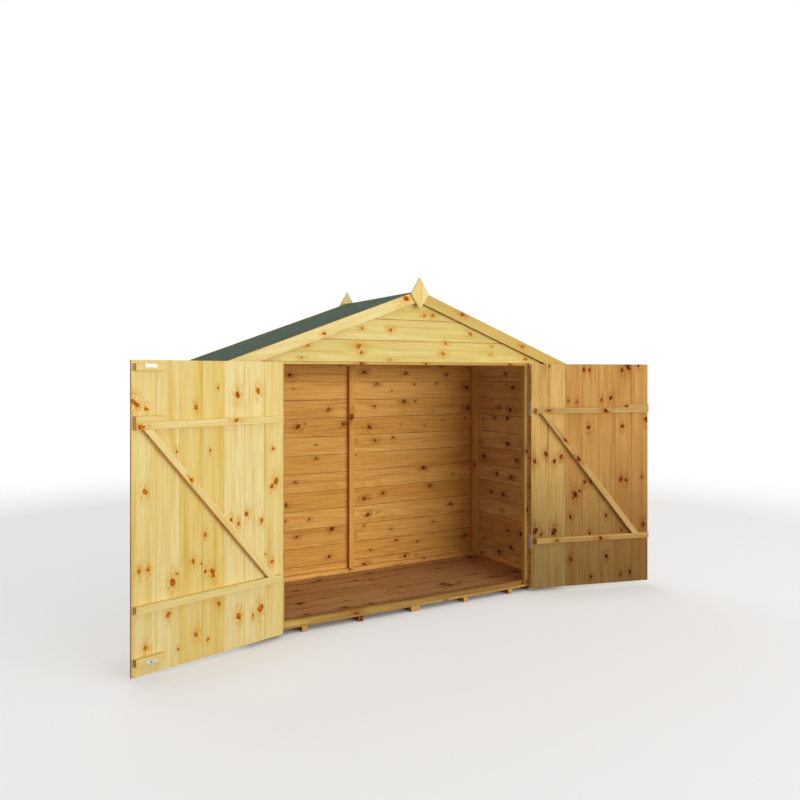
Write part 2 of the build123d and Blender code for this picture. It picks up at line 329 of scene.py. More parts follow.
world = bpy.data.worlds.new("sky")
bpy.context.scene.world = world
world.use_nodes = True
sky = world.node_tree
sky.nodes.clear()
daylight = flow(sky, "Background", 0, {"Color": SKY_WHITE, "Strength": SKY_STRENGTH})
white = flow(sky, "Background", 0, {"Color": (1, 1, 1, 1), "Strength": 1})
either = flow(sky, "MixShader", 0, {0: what_shows(sky), 1: daylight, 2: white})
shader_node(sky, "OutputWorld", {"Surface": either})
print("sky strength", SKY_STRENGTH)

# %% [markdown]
# The shelter stands on a plain pale floor. A real studio floor curves up into the wall so that
# no edge shows. Here a round floor fades into the white backdrop with distance, and keeps the
# shadow near the shelter. A pale floor would throw light up under the roof, so it is pale only
# for the camera and for reflections, with a faint glow of its own, and a mid grey for the light
# that it sends back. The glow fades in the gap under the shelter, where a real floor is darkest.

# %% Floor of the studio
FLOOR_RADIUS = 14
FADE_FROM, FADE_TO = 1.6, 7.0
GAP_REACH = 0.4
FAINT_GLOW = 0.5
PALE, MID_GREY = (0.9, 0.9, 0.9, 1), (0.34, 0.34, 0.34, 1)
bpy.ops.object.select_all(action="DESELECT")
bpy.ops.mesh.primitive_circle_add(vertices=96, radius=FLOOR_RADIUS, fill_type="NGON")
studio_floor = bpy.context.object
studio_floor.name = "studio_floor"
floor_paint = bpy.data.materials.new("studio_floor_paint")
floor_paint.use_nodes = True
tree = floor_paint.node_tree
tree.nodes.clear()
shows = what_shows(tree)
matt = flow(tree, "BsdfDiffuse", 0, {"Color": mix(shows, MID_GREY, PALE)})
glow = flow(tree, "Emission", 0)
gap = flow(tree, "AmbientOcclusion", "AO", {"Distance": GAP_REACH}, samples=8)
fade = ramp(object_place(tree).length(), FADE_FROM, FADE_TO)
glowing = fade.maths("MAXIMUM", shows * FAINT_GLOW) * gap
both = flow(tree, "MixShader", 0, {0: glowing, 1: matt, 2: glow})
shader_node(tree, "OutputMaterial", {"Surface": both})
studio_floor.data.materials.append(floor_paint)
print("studio floor radius", FLOOR_RADIUS, "m")

# %% [markdown]
# A knot is where a branch left the trunk. It shows as a red-brown oval that leans one way or the
# other, with amber wood round it, and the grain flows past it as water round a stone. One small
# node group works out a single knot and hands on the nearest one so far, so that any number can
# be chained. The knots that show clearly are placed one by one in that way.

# %% One knot
KNOT_FLOWS = ("Nearest", "Around", "Bend")
NO_KNOT = (99.0, 99.0, 0.0)
PLACE = (0.0, 0.0, 0.0)


def knot_recipe(grain, centre, size, lean, nearest, around, bend):
    """Distance to the nearest knot, in its own sizes, and the bend of the grain round it."""
    offset = grain - centre
    in_sizes = offset * (1.0 / size)
    up, sideways, _ = in_sizes.parts()
    oval = combine(up * 0.75, sideways - up * lean).length()
    round_it = combine(up * 0.55, sideways).length()
    reach = (in_sizes * (0.28, 0.5, 0)).length()
    fall = (reach ** 2.0 * -1.0).maths("EXPONENT")
    push = offset.parts()[1] * -0.8 * fall
    return oval.maths("MINIMUM", nearest), round_it.maths("MINIMUM", around), push + bend


one_knot = node_group(
    "one_knot",
    knot_recipe,
    {
        "Grain": PLACE, "Centre": PLACE, "Size": 0.008, "Lean": 0.0,
        **dict(zip(KNOT_FLOWS, NO_KNOT)),
    },
    KNOT_FLOWS,
)

# %% [markdown]
# The walls, the floor and the framing have hundreds of knots that nobody would place one by
# one. A Voronoi texture gives every stretch of board one random point, and the same knot group
# is set there, with a random size. Some stretches get a knot too small to see, which is clear
# wood.

# %% Scattered knots
SMALLEST_KNOT = 0.003
UNSEEN_KNOT = 0.0001
MOST_SLANT = 0.35
SCATTER_INPUTS = ("Spacing", "Width", "Largest", "Clear")
USUAL_SCATTER = (0.3, 0.12, 0.012, 0.35)


def add_knot(grain, centre, size, lean, before=NO_KNOT):
    """Place the knot group after the ones before it, and give back what it puts out."""
    inputs = {"Grain": grain, "Centre": centre, "Size": size, "Lean": lean}
    inputs.update(zip(KNOT_FLOWS, before))
    return tuple(place_group(grain.tree, one_knot, inputs).values())


def scatter_recipe(grain, seed, spacing, width, largest, clear):
    """Knots along a board: one cell is a stretch of board, and it has one knot or none."""
    cell = combine(spacing, width, 1.0)
    shift = combine(seed * 71.0)
    inputs = {"Vector": grain / cell + shift, "Scale": 1.0, "Randomness": 0.85}
    cells = shader_node(grain.tree, "TexVoronoi", inputs, voronoi_dimensions="2D").outputs
    centre = (Flow(cells["Position"]) - shift) * cell
    growth, presence, slant = Flow(cells["Color"]).parts()
    grown = growth ** 1.4 * largest + SMALLEST_KNOT
    size = (grown * presence.maths("GREATER_THAN", clear)).maths("MAXIMUM", UNSEEN_KNOT)
    return add_knot(grain, centre, size, ramp(slant, 0.0, 1.0, -MOST_SLANT, MOST_SLANT))


scattered_knots = node_group(
    "scattered_knots",
    scatter_recipe,
    {"Grain": PLACE, "Seed": 0.0, **dict(zip(SCATTER_INPUTS, USUAL_SCATTER))},
    KNOT_FLOWS,
)

# %% [markdown]
# Pine is sawn from a trunk whose rings are pale in spring and amber in late summer. Every board
# cuts those rings lengthwise, so long streaks and arches show. To get that, each board carries
# two values on its points: `grain`, the place along, across and through the board in metres, and
# `board`, a random seed, a tone and the board's middle. The shader works out how far a point
# lies from the heart of its own imagined tree, which lies some centimetres behind the board and
# drifts along it, and so in which ring the point is. Fine fibres are noise drawn out along the
# board, and a slow cloud makes one board uneven. The group puts out masks only, so that each
# finish can choose its own colours.

# %% Figure of pine
HEART_DEPTH = 0.03
HEART_DRIFT = 0.035


def figure_recipe(grain, board, bend, ring_width):
    """Rings, fibres and clouds of a sawn pine board, and the height of its face."""
    along, across, depth = grain.parts()
    seed, _, middle = board.parts()
    drift = (noise(combine(along * 1.1, seed * 43.0), 1.0) - 0.5) * HEART_DRIFT
    sideways = (across - middle + bend) + (drift + (seed * 0.11 + 0.015))
    behind = along * 0.014 + (depth + HEART_DEPTH) + drift * 0.35
    wobble = noise(combine(along * 3.0, across * 9.0, seed), 1.0)
    ring = combine(sideways, behind).length() / ring_width + wobble * 1.6
    within = ring.maths("FRACT")
    late = ramp(within, 0.3, 0.86) * ramp(within, 0.9, 1.0, 1.0, 0.0)
    fibres = noise(grain * (5.0, 150.0, 150.0), 1.0, 5.0, 0.62)
    cloud = noise(combine(along * 1.3, across * 24.0, seed * 29.0), 1.0, 4.0, 0.6)
    return late, fibres, cloud, late * 0.5 + fibres * 0.7


pine_figure = node_group(
    "pine_figure",
    figure_recipe,
    {"Grain": PLACE, "Board": PLACE, "Bend": 0.0, "Ring Width": 0.0042},
    ("Rings", "Fibres", "Cloud", "Height"),
)

# %% [markdown]
# The knot's colours come last: a dark rim, a red-brown heart and an amber halo that fades out
# into the board. They are laid over the board's own colour, which goes from pale to golden with
# the board's tone. A pine is named by five colours: pale wood, golden wood, late rings, the halo
# round a knot, and the knot.

# %% Colours of pine
PINE_COLOURS = ("Pale", "Golden", "Late", "Halo", "Knot")


def palette(*codes):
    """The five colours of a pine, by name."""
    return dict(zip(PINE_COLOURS, map(srgb, codes)))


def colour_recipe(pale, golden, late, halo, knot, tone, rings, fibres, cloud, figure, fine,
                  nearest, around, grain):
    """Colour and roughness of a board and its knots."""
    base = mix((tone + (cloud - 0.5) * 1.8).clamped(), pale, golden)
    band = ramp(cloud, 0.52, 0.7) * fine
    ringed = mix((rings * figure).maths("MAXIMUM", band), base, late)
    fibred = mix(((fibres - 0.44) * fine * 4.0).clamped(), ringed, late)
    blotch = noise(grain * (40.0, 120.0, 120.0), 1.0, 3.0, 0.65)
    patchy = ramp(around, 1.0, 5.0, 0.85, 0.0) * ramp(blotch, 0.38, 0.62)
    amber = mix(patchy.maths("MAXIMUM", ramp(nearest, 1.15, 1.9, 0.95, 0.0)), fibred, halo)
    heart = mix(ramp(blotch, 0.4, 0.55), halo, knot)
    rimmed = mix(ramp(nearest, 0.35, 0.75), heart, knot)
    over = ramp(nearest, 0.85, 1.2, 1.0, 0.0) * ramp(blotch, 0.2, 0.5, 0.6, 1.0)
    return mix(over, amber, rimmed), fibres * 0.2 + 0.62 - over * 0.12


pine_colour = node_group(
    "pine_colour",
    colour_recipe,
    {
        **palette("#E9D39A", "#D9B564", "#B98238", "#C98A36", "#8E4416"),
        "Tone": 0.5, "Rings": 0.0, "Fibres": 0.0, "Cloud": 0.0, "Figure": 0.3, "Fine": 0.3,
        "Nearest": 9.0, "Around": 9.0, "Grain": PLACE,
    },
    ("Color", "Roughness"),
)

# %% [markdown]
# A knot's edge is never clean, because the fibres close round it unevenly. Noise moves every
# place in the board a little to and fro before the knots are worked out, which frays them. The
# foot of a door can also get painted shade: darker up to a height, with a cloudy edge.

# %% Ragged edges and painted shade at the foot
FRAY = 0.024
# Painted shade at the foot of a door: its colour is multiplied by this tint.
PAINTED_SHADE_TINT = (0.45, 0.45, 0.5, 1)


def ragged_recipe(grain):
    """Each place in a board, moved a little, so that the knots get ragged edges."""
    inputs = {"Vector": grain, "Scale": 62, "Detail": 3.5, "Roughness": 0.6}
    cloudy = flow(grain.tree, "TexNoise", "Color", inputs)
    return (grain + (cloudy - (0.5, 0.5, 0.5)) * FRAY,)


def foot_shade_recipe(colour, place, cloud, up_to):
    """Colour of a board with shade painted on it, darkest at its foot and gone at a height."""
    height = place.parts()[2] + (cloud - 0.5) * 0.5
    shade_share = ramp(height, 0.0, up_to, 1.0, 0.0)
    return (mix(shade_share, colour, PAINTED_SHADE_TINT, "MULTIPLY"),)


ragged_grain = node_group("ragged_grain", ragged_recipe, {"Grain": PLACE}, ("Ragged",))
painted_foot_shade = node_group(
    "painted_foot_shade",
    foot_shade_recipe,
    {"Color": (1.0, 1.0, 1.0, 1.0), "Place": PLACE, "Cloud": 0.5, "Up To": 1.0},
    ("Color",),
)

# %% [markdown]
# One function makes every pine material from these groups. It takes the colours and either the
# knots that are listed or how thickly they are scattered. Sawn or planed pine is dull, so its
# shine is turned well down. Fraying makes a knot look larger, so a placed knot is drawn a little
# smaller than it was measured.

# %% Pine finishes
MM = 1000
FRAYED_SHARE = 0.88
LARGEST_LEAN = 0.3
LEAN_WAVES = (997, 131)
NARROW_RINGS = 0.0034
WIDE_RINGS = 0.0042


def usual_lean(height, across):
    """Lean of a knot that looks like chance but always comes out the same."""
    return LARGEST_LEAN * sin(LEAN_WAVES[0] * height + LEAN_WAVES[1] * across)


def placed_knots(grain, knots):
    """Chain of knots, each (height or place along, place across, size) in mm and maybe a lean."""
    found = NO_KNOT
    for height, across, size, *leans in knots:
        centre = (height / MM, across / MM, 0)
        lean = leans[0] if leans else usual_lean(*centre[:2])
        found = add_knot(grain, centre, FRAYED_SHARE * (size / MM), lean, found)
    return found


def pine(name, colours, knots=(), scatter=USUAL_SCATTER, contrast=0.2, fine=0.3,
         ring_width=NARROW_RINGS, foot_shade=0.0):
    """Pine material: its five colours, and either listed knots or scattered ones.

    scatter is the length and width of a stretch with one knot, the largest knot, and the share
    of clear stretches. The last argument is the height up to which shade is painted on a board
    from its foot.
    """
    material, tree, shader = new_finish(name, gloss=0.06)
    grain = flow(tree, "Attribute", "Vector", attribute_name="grain")
    board = flow(tree, "Attribute", "Vector", attribute_name="board")
    seed, tone, _ = board.parts()
    ragged = place_group(tree, ragged_grain, {"Grain": grain})["Ragged"]
    if knots:
        found = placed_knots(ragged, knots)
    else:
        inputs = {"Grain": ragged, "Seed": seed, **dict(zip(SCATTER_INPUTS, scatter))}
        found = place_group(tree, scattered_knots, inputs).values()
    nearest, around, bend = found
    inputs = {"Grain": grain, "Board": board, "Bend": bend, "Ring Width": ring_width}
    figure = place_group(tree, pine_figure, inputs)
    height = figure.pop("Height")
    inputs = {
        **colours, **figure, "Tone": tone, "Nearest": nearest, "Around": around, "Grain": grain,
        "Figure": contrast, "Fine": fine,
    }
    face, roughness = place_group(tree, pine_colour, inputs).values()
    # Painted shade: the board is darker from its foot up to a height.
    if foot_shade:
        place = object_place(tree)
        inputs = {"Color": face, "Place": place, "Cloud": figure["Cloud"], "Up To": foot_shade}
        face = place_group(tree, painted_foot_shade, inputs)["Color"]
    put(shader["Base Color"], face)
    put(shader["Roughness"], roughness)
    add_bump(shader, height, strength=0.35, distance=0.0006)
    return material


# %% [markdown]
# Each knot that catches the eye gets its place in millimetres, first along the piece and then
# across it, and half its width. On a door that is the height and the distance from the hinge
# edge, on the gable and the level timbers the distance to the right of the middle and the height.
# Braces are measured from their middle, and bargeboards from the ridge. A knot goes through the
# board, so it shows at the same place on both faces of a door.

# %% Knots placed one by one
left_door_knots = [
    (1240, 806, 14, 1.1), (1213, 753, 7), (841, 758, 10), (490, 785, 9), (494, 742, 8),
    (143, 755, 9), (1213, 502, 8), (410, 622, 13), (446, 602, 5), (266, 646, 9), (97, 596, 5),
    (1009, 602, 6), (1020, 687, 5), (489, 519, 9), (471, 475, 5), (605, 456, 8), (1002, 431, 5),
    (1302, 385, 5), (430, 456, 6), (425, 416, 10), (402, 410, 8), (261, 379, 9), (143, 503, 9),
    (103, 440, 5), (1264, 275, 12), (1285, 155, 11), (672, 224, 10), (632, 270, 8), (657, 312, 7),
    (628, 135, 9), (175, 268, 12), (161, 185, 7), (188, 138, 13), (986, 64, 6), (818, 46, 13),
    (795, 72, 9), (411, 69, 7), (456, 109, 4),
]
right_door_knots = [
    (821, 23, 10), (862, 100, 11), (818, 157, 9), (844, 204, 10), (383, 26, 13), (356, 66, 8),
    (371, 155, 15), (1199, 251, 6), (1191, 315, 6), (1395, 362, 8), (1395, 403, 7), (1205, 489, 7),
    (1215, 553, 9), (1027, 397, 9), (1028, 637, 9), (1415, 680, 15), (1395, 635, 9),
    (1424, 752, 7), (1070, 814, 12), (820, 329, 8), (602, 301, 13), (621, 334, 6), (580, 290, 7),
    (460, 268, 9), (679, 368, 9), (685, 415, 9), (458, 521, 8), (610, 496, 8), (688, 628, 10),
    (681, 664, 9), (698, 781, 6), (388, 789, 11), (357, 632, 6), (348, 402, 6), (191, 268, 9),
    (195, 521, 9), (72, 413, 7), (70, 627, 7), (84, 691, 9), (1420, 121, 6),
]
gable_knots = [
    (-354, 1621, 7), (-173, 1617, 9), (379, 1606, 9), (53, 1706, 8), (110, 1709, 10),
    (-679, 1519, 8), (-714, 1456, 7), (-374, 1523, 12), (-359, 1487, 8), (200, 1550, 8),
    (180, 1490, 10), (537, 1537, 6), (528, 1486, 6), (803, 1463, 10), (-177, 1447, 6),
]
bearer_knots = [(-418, -352, 13, 0.0)]
rail_knots = [(-383, 45, 12, 0.0), (788, 58, 10)]
header_knots = [(-351, 1430, 8), (72, 1430, 6), (686, 1428, 9)]
post_knots = [(1079, -4, 14), (700, 1012, 7), (1190, -1010, 6)]
ledge_knots = {
    "left": [(301, 1142, 9), (790, 1133, 11)],
    "right": [(505, 1133, 11), (108, 1139, 6), (466, 322, 9), (161, 320, 6)],
}
brace_knots = {"left": [(189, -2, 8)], "right": [(284, -4, 9), (132, 2, 12)]}
barge_knots = {
    "left": [(88, 12, 14), (640, -10, 6)],
    "right": [(313, 18, 10), (800, 4, 7)],
}
print(len(left_door_knots), len(right_door_knots), len(gable_knots), "knots placed by hand")

# %% [markdown]
# New treated pine has no single colour. It is pale where the sun and the weather reach it, amber
# inside, browner on sawn ends and darkest in the joints, where the treatment gathers. So each
# kind of piece gets a palette of its own, from the palest to the darkest wood.

# %% Palettes of the shelter
golden_pine = palette("#EADB9E", "#DEC064", "#C89638", "#D09830", "#A2400A")
# Inside of the right door, and its ledges and brace: browner treated wood, and darker as painted
# shade.
warm_shaded_pine = palette("#DCB76C", "#BE8A48", "#9A6A32", "#9A4E14", "#4E1800")
warm_shaded_ledge_pine = palette("#CDB06F", "#B1854A", "#92662E", "#9A4E14", "#4E1800")
front_pine = palette("#E6D590", "#CFB664", "#C09644", "#CC9638", "#A65A22")
wall_pine = palette("#E8CF8C", "#D9B566", "#C4964A", "#C08030", "#8A4014")
header_pine = palette("#DEC46E", "#C09650", "#A07434", "#A86420", "#7A2C0C")
sill_pine = palette("#CCA45C", "#B08040", "#8E6028", "#96581C", "#5A2A10")
rail_pine = palette("#D9B866", "#98713C", "#80592A", "#96581C", "#5A2A10")
inside_pine = palette("#F0BE6A", "#DEA350", "#B67A34", "#A06024", "#6E300E")
# Inside of the right wall: paler and greyer than the inside pine, as painted light for the cool
# light in its shade.
painted_light_inside_pine = palette("#E2C48C", "#D2A86A", "#AC7C44", "#966434", "#4E2410")
# Framing on the right: paler than the framing inside, as painted light.
painted_light_framing_pine = palette("#F4CE84", "#E4B468", "#B88440", "#9C642C", "#54260C")
bearer_pine = palette("#D8B068", "#BE8C48", "#98682C", "#9A5418", "#6A2C0A")
floor_pine = palette("#D0A774", "#B58959", "#92693D", "#80522A", "#46200C")
# Ends of boards and timbers: browner end grain. On the sides of the bargeboards and the back posts
# the same colours are painted shade.
end_grain_and_shade_pine = palette("#D69A58", "#CC8646", "#A6622A", "#96601F", "#6A3010")
# Ends of the door timbers and sides of the braces: lighter and more orange than end grain, as
# painted light on faces that fall in shade.
lit_ledge_end_pine = palette("#F2C078", "#E6AC60", "#C48638", "#C0782C", "#8A4010")
shaded_trim_pine = palette("#D1B970", "#C3A14F", "#AE843A", "#B86A1E", "#923004")
seam_pine = palette("#D2A45A", "#C4944A", "#A87434", "#8A5420", "#5A2A10")
dark_seam_pine = palette("#8A5024", "#7C441C", "#6A3816", "#5E3014", "#38180A")
print("knot colour outside", golden_pine["Knot"][:3])

# %% [markdown]
# Each kind of piece now gets its finish. The pieces that catch the eye have their knots placed,
# and the others have them scattered. Inside and on the floor the rings and fibres show most. One
# finish serves all the pieces that look alike.

# %% Finishes of the shelter
# Height up to which shade is painted on the inside of the right door.
FOOT_SHADE_HEIGHT = 1.1
inside_scatter = (0.18, 0.12, 0.0095, 0.3)
framing_scatter = (0.34, 0.05, 0.006, 0.35)
gable_finish = pine("pine_gable", front_pine, gable_knots, contrast=0.13)
cladding_finish = pine("pine_cladding", wall_pine, scatter=(0.36, 0.12, 0.007, 0.3), contrast=0.14)
inside_finish, right_inside_finish = (
    pine(name, colours, scatter=inside_scatter, contrast=0.26, fine=0.55, ring_width=WIDE_RINGS)
    for name, colours in (("pine_inside", inside_pine), ("pine_right_inside", painted_light_inside_pine))
)
floor_finish = pine(
    "pine_floor", floor_pine, scatter=(0.2, 0.12, 0.012, 0.3), contrast=0.3, fine=0.6,
    ring_width=WIDE_RINGS,
)
sill_finish = pine("pine_sill", sill_pine, scatter=(0.4, 0.05, 0.008, 0.3), contrast=0.3, fine=0.5)
rail_finish = pine("pine_front_rail", rail_pine, rail_knots, fine=0.4)
bearer_finish = pine("pine_bearer", bearer_pine, bearer_knots, contrast=0.3, fine=0.5)
header_finish = pine("pine_header", header_pine, header_knots, fine=0.4)
post_finish = pine("pine_back_posts", inside_pine, post_knots, fine=0.5)
clear_finish = pine("pine_clear", golden_pine, scatter=(0.3, 0.06, 0.006, 1.0), contrast=0.14)
framing_finish = pine("pine_framing", inside_pine, scatter=framing_scatter, fine=0.5)
painted_light_framing_finish = pine(
    "pine_painted_light_framing", painted_light_framing_pine, scatter=framing_scatter, fine=0.5
)
end_grain_and_shade_finish = pine("pine_end_grain", end_grain_and_shade_pine, contrast=0.45)
lit_ledge_end_finish = pine("pine_lit_ledge_end", lit_ledge_end_pine, contrast=0.45)
seam_finish = pine("pine_seam", seam_pine)
dark_seam_finish = pine("pine_dark_seam", dark_seam_pine)
print(sum(m.name.startswith("pine_") for m in bpy.data.materials), "pine finishes made")

# %% [markdown]
# Every panel starts as a copy of its slab. The slab's mesh is loose triangles, so its points
# are merged and its flat faces joined first.

# %% Copies of the model's pieces
SAME_POINT = 0.00002


def activate(piece):
    """Make this the only selected object."""
    bpy.ops.object.select_all(action="DESELECT")
    bpy.context.view_layer.objects.active = piece
    piece.select_set(True)


@contextmanager
def edit_mode():
    """Edit the active object, and leave it with nothing selected in it."""
    bpy.ops.object.mode_set(mode="EDIT")
    yield
    bpy.ops.mesh.select_all(action="DESELECT")
    bpy.ops.object.mode_set(mode="OBJECT")


def link(name, mesh):
    """New object in the scene for a mesh."""
    piece = bpy.data.objects.new(name, mesh)
    bpy.context.scene.collection.objects.link(piece)
    return piece


def copy_of_node(node, name):
    """Copy of a model piece with its points merged and its flat faces joined."""
    piece = link(name, nodes[node].data.copy())
    piece.data.materials.clear()
    activate(piece)
    with edit_mode():
        bpy.ops.mesh.select_all(action="SELECT")
        bpy.ops.mesh.remove_doubles(threshold=SAME_POINT)
        bpy.ops.mesh.dissolve_limited(angle_limit=radians(1))
    return piece


# %% [markdown]
# Shaping is done in edit mode with the operators that one would pick by hand. They act on all
# that is selected, so the wanted edges or faces are picked out by their place or the way they
# look.

# %% Selecting, cutting and drawing out
CORNER = radians(60)
SQUARE_ON = 0.99


def select(piece, kind, wanted):
    """In edit mode, select just the edges or faces that are wanted, and count them."""
    bpy.ops.mesh.select_mode(type=kind)
    bpy.ops.mesh.select_all(action="DESELECT")
    mesh = bmesh.from_edit_mesh(piece.data)
    chosen = [part for part in (mesh.edges if kind == "EDGE" else mesh.faces) if wanted(part)]
    for part in chosen:
        part.select_set(True)
    bmesh.update_edit_mesh(piece.data)
    return len(chosen)


def cut(point, normal, keep_behind=False, keep_ahead=False):
    """Bisect everything with a plane, and clear one side of it if asked."""
    bpy.ops.mesh.select_all(action="SELECT")
    bpy.ops.mesh.bisect(
        plane_co=point,
        plane_no=normal,
        use_fill=keep_behind or keep_ahead,
        clear_outer=keep_behind,
        clear_inner=keep_ahead,
    )


def draw_out(way):
    """Extrude the selected faces this way."""
    bpy.ops.mesh.extrude_region_move(TRANSFORM_OT_translate={"value": way})


def bevel_selected(width, segments=1):
    """Take the corner off the selected edges."""
    bpy.ops.mesh.bevel(offset=width, segments=segments, affect="EDGES", clamp_overlap=True)


def is_sharp(edge):
    """Whether two faces meet at a real corner."""
    return len(edge.link_faces) == 2 and edge.calc_face_angle() > CORNER


# %% [markdown]
# Tongued and grooved boards meet in a V on the weather side: the two edges there have a broad
# chamfer. All other arrises are eased slightly. The middle of one long edge is drawn out as a
# tongue, and that of the other is pushed in as the groove that takes it.

# %% Chamfers and tongues
ARRIS = 0.0008
V_CHAMFER = 0.0022
INNER_CHAMFER = 0.0012
JOINT_GAP = 0.0003
TONGUE_HALF = 0.002
TONGUE_REACH = 0.005
TONGUE_PLAY = 0.0005
CLOSE = 0.0005


def chamfer_joints(piece, across, outward, joints, inner):
    """Chamfer the long edges where a board meets its neighbours, and ease all the others."""
    across_at = [v.co.dot(across) for v in piece.data.vertices]
    outward_at = [v.co.dot(outward) for v in piece.data.vertices]
    bottom, top = min(across_at), max(across_at)

    def at_joint(face_at):
        def wanted(edge):
            places = [v.co.dot(across) for v in edge.verts]
            on_face = all(abs(v.co.dot(outward) - face_at) < CLOSE for v in edge.verts)
            at_low = joints[0] and max(places) < bottom + CLOSE
            at_high = joints[1] and min(places) > top - CLOSE
            return on_face and (at_low or at_high)

        return wanted

    with edit_mode():
        for face_at, width in ((max(outward_at), V_CHAMFER), (min(outward_at), inner)):
            if select(piece, "EDGE", at_joint(face_at)):
                bevel_selected(width)
        select(piece, "EDGE", is_sharp)
        bevel_selected(ARRIS)


def cut_tongues(piece, across, outward, middle, joints):
    """Draw out the tongue and push in the groove, at the middle of the board's thickness."""

    def strip(sign):
        def wanted(face):
            inside = abs(face.calc_center_median().dot(outward) - middle) < TONGUE_HALF
            return inside and face.normal.dot(across) * sign > SQUARE_ON

        return wanted

    with edit_mode():
        for offset in (-TONGUE_HALF, TONGUE_HALF):
            cut(outward * (middle + offset), outward)
        for sign, joint in zip((-1, 1), joints):
            if joint and select(piece, "FACE", strip(sign)):
                draw_out(across * (TONGUE_REACH if sign > 0 else TONGUE_REACH + TONGUE_PLAY))


print("V joint", 2 * V_CHAMFER, "m wide, tongue", 2 * TONGUE_HALF, "m thick")

# %% [markdown]
# Wood takes its colour from how it was sawn, so each face of a board gets the finish of a face,
# a back, an end or a joint. Each board also gets the two values that the pine shader reads: its
# own directions, and a random seed with its tone.

# %% Finish and grain of a board
FACE, BACK, END, JOINT = range(4)
STRAIGHT, SLANTED, AWAY = 0.9, 0.3, -0.5


def dress(piece, along, across, outward, finishes, joints=(True, True)):
    """Give the faces of a board the finish of its face, back, ends or joints."""
    for finish in finishes:
        piece.data.materials.append(finish)
    for face in piece.data.polygons:
        sideways = face.normal.dot(across)
        if abs(face.normal.dot(along)) > STRAIGHT:
            face.material_index = END
        elif abs(sideways) > SLANTED:
            outer_edge = END if abs(sideways) > STRAIGHT else FACE
            face.material_index = JOINT if joints[sideways > 0] else outer_edge
        elif face.normal.dot(outward) < AWAY:
            face.material_index = BACK


def write_grain(piece, along, across, outward, tone, origin):
    """Give a board's points their place along, across and through it, and its seed and tone.

    tone is one number, or two for a board that darkens from its start to its end.
    """
    mesh = piece.data
    points = np.empty(len(mesh.vertices) * 3)
    mesh.vertices.foreach_get("co", points)
    points = points.reshape(-1, 3) - np.array(origin)
    grain = points @ np.array([along, across, outward]).T
    middle = (grain[:, 1].min() + grain[:, 1].max()) / 2
    first, last = tone if isinstance(tone, tuple) else (tone, tone)
    share = (grain[:, 0] - grain[:, 0].min()) / np.ptp(grain[:, 0])
    board = np.tile([chance.random(), 0, middle], (len(grain), 1))
    board[:, 1] = first + (last - first) * share
    for name, values in (("grain", grain), ("board", board)):
        attribute = mesh.attributes.new(name, "FLOAT_VECTOR", "POINT")
        attribute.data.foreach_set("vector", values.astype(np.float32).ravel())


def join(pieces, name):
    """Join several objects into one with this name."""
    activate(pieces[0])
    for piece in pieces[1:]:
        piece.select_set(True)
    if len(pieces) > 1:
        bpy.ops.object.join()
    whole = bpy.context.view_layer.objects.active
    whole.name = name
    whole.data.name = name
    return whole


def stand_for(piece, node):
    """Let a finished piece take the place of a model piece, on the same body."""
    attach(piece, nodes[node]["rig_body"])
    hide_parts(node)


# %% [markdown]
# A panel is its slab cut across with bisect, once for each board, which also closes the cut. The
# boards are finished one by one and joined again.

# %% A panel of boards
THINNEST_BOARD = 0.004
BOARD_TONES = (0.15, 0.85)


def board_panel(node, name, along, across, outward, seams, finishes, slot, tones=None,
                origin=ORIGIN, tongues=True, inner=INNER_CHAMFER):
    """Cut a slab into boards at the seams, finish each one and join them again.

    seams are distances across the panel from the origin. finishes are those of the face, the
    back, the ends and the joints, or a list of such fours, one for each board.
    """
    slab = copy_of_node(node, name)
    spread = [(v.co - origin).dot(across) for v in slab.data.vertices]
    faces = [v.co.dot(outward) for v in slab.data.vertices]
    low, high = min(spread), max(spread)
    inside = [s for s in seams if low + THINNEST_BOARD < s < high - THINNEST_BOARD]
    marks = [low, *inside, high]
    boards = []
    for index, (start, end) in enumerate(zip(marks, marks[1:])):
        board = link(name, slab.data.copy())
        activate(board)
        joints = (index > 0, index < len(marks) - 2)
        with edit_mode():
            if joints[0]:
                cut(origin + across * (start + JOINT_GAP / 2), across, keep_ahead=True)
            if joints[1]:
                cut(origin + across * (end - JOINT_GAP / 2), across, keep_behind=True)
        chamfer_joints(board, across, outward, joints, inner)
        if tongues:
            cut_tongues(board, across, outward, (min(faces) + max(faces)) / 2, joints)
        tone = tones[index] if tones else chance.uniform(*BOARD_TONES)
        write_grain(board, along, across, outward, tone, origin)
        own = finishes[index] if isinstance(finishes, list) else finishes
        dress(board, along, across, outward, own, joints)
        boards.append(board)
    bpy.data.objects.remove(slab)
    panel = join(boards, name)
    stand_for(panel, node)
    print(name, len(boards), "boards", len(panel.data.polygons), "faces")


# %% [markdown]
# The walls are clad with level boards that cover 120 mm each, and the joints run round the
# shelter at one height. The weather side is pale pine. The inside has the deeper amber of the
# treated wood, and its joints are dark, because the treatment gathers in them. Sawn ends are
# browner than faces, so each board gets four finishes: face, back, ends and joints.

# %% Walls and gables
COVER = 0.12
FIRST_SEAM = 0.116
wall_seams = [FIRST_SEAM + COVER * i for i in range(15)]
# The gable's boards darken from left to right as painted shade: each board's tone runs from its
# left end to its right end.
gable_shade_tones = ((0.1, 0.9), (0.05, 0.85), (0.25, 0.95), (0.2, 0.8))
wall_finishes = (cladding_finish, inside_finish, end_grain_and_shade_finish, dark_seam_finish)
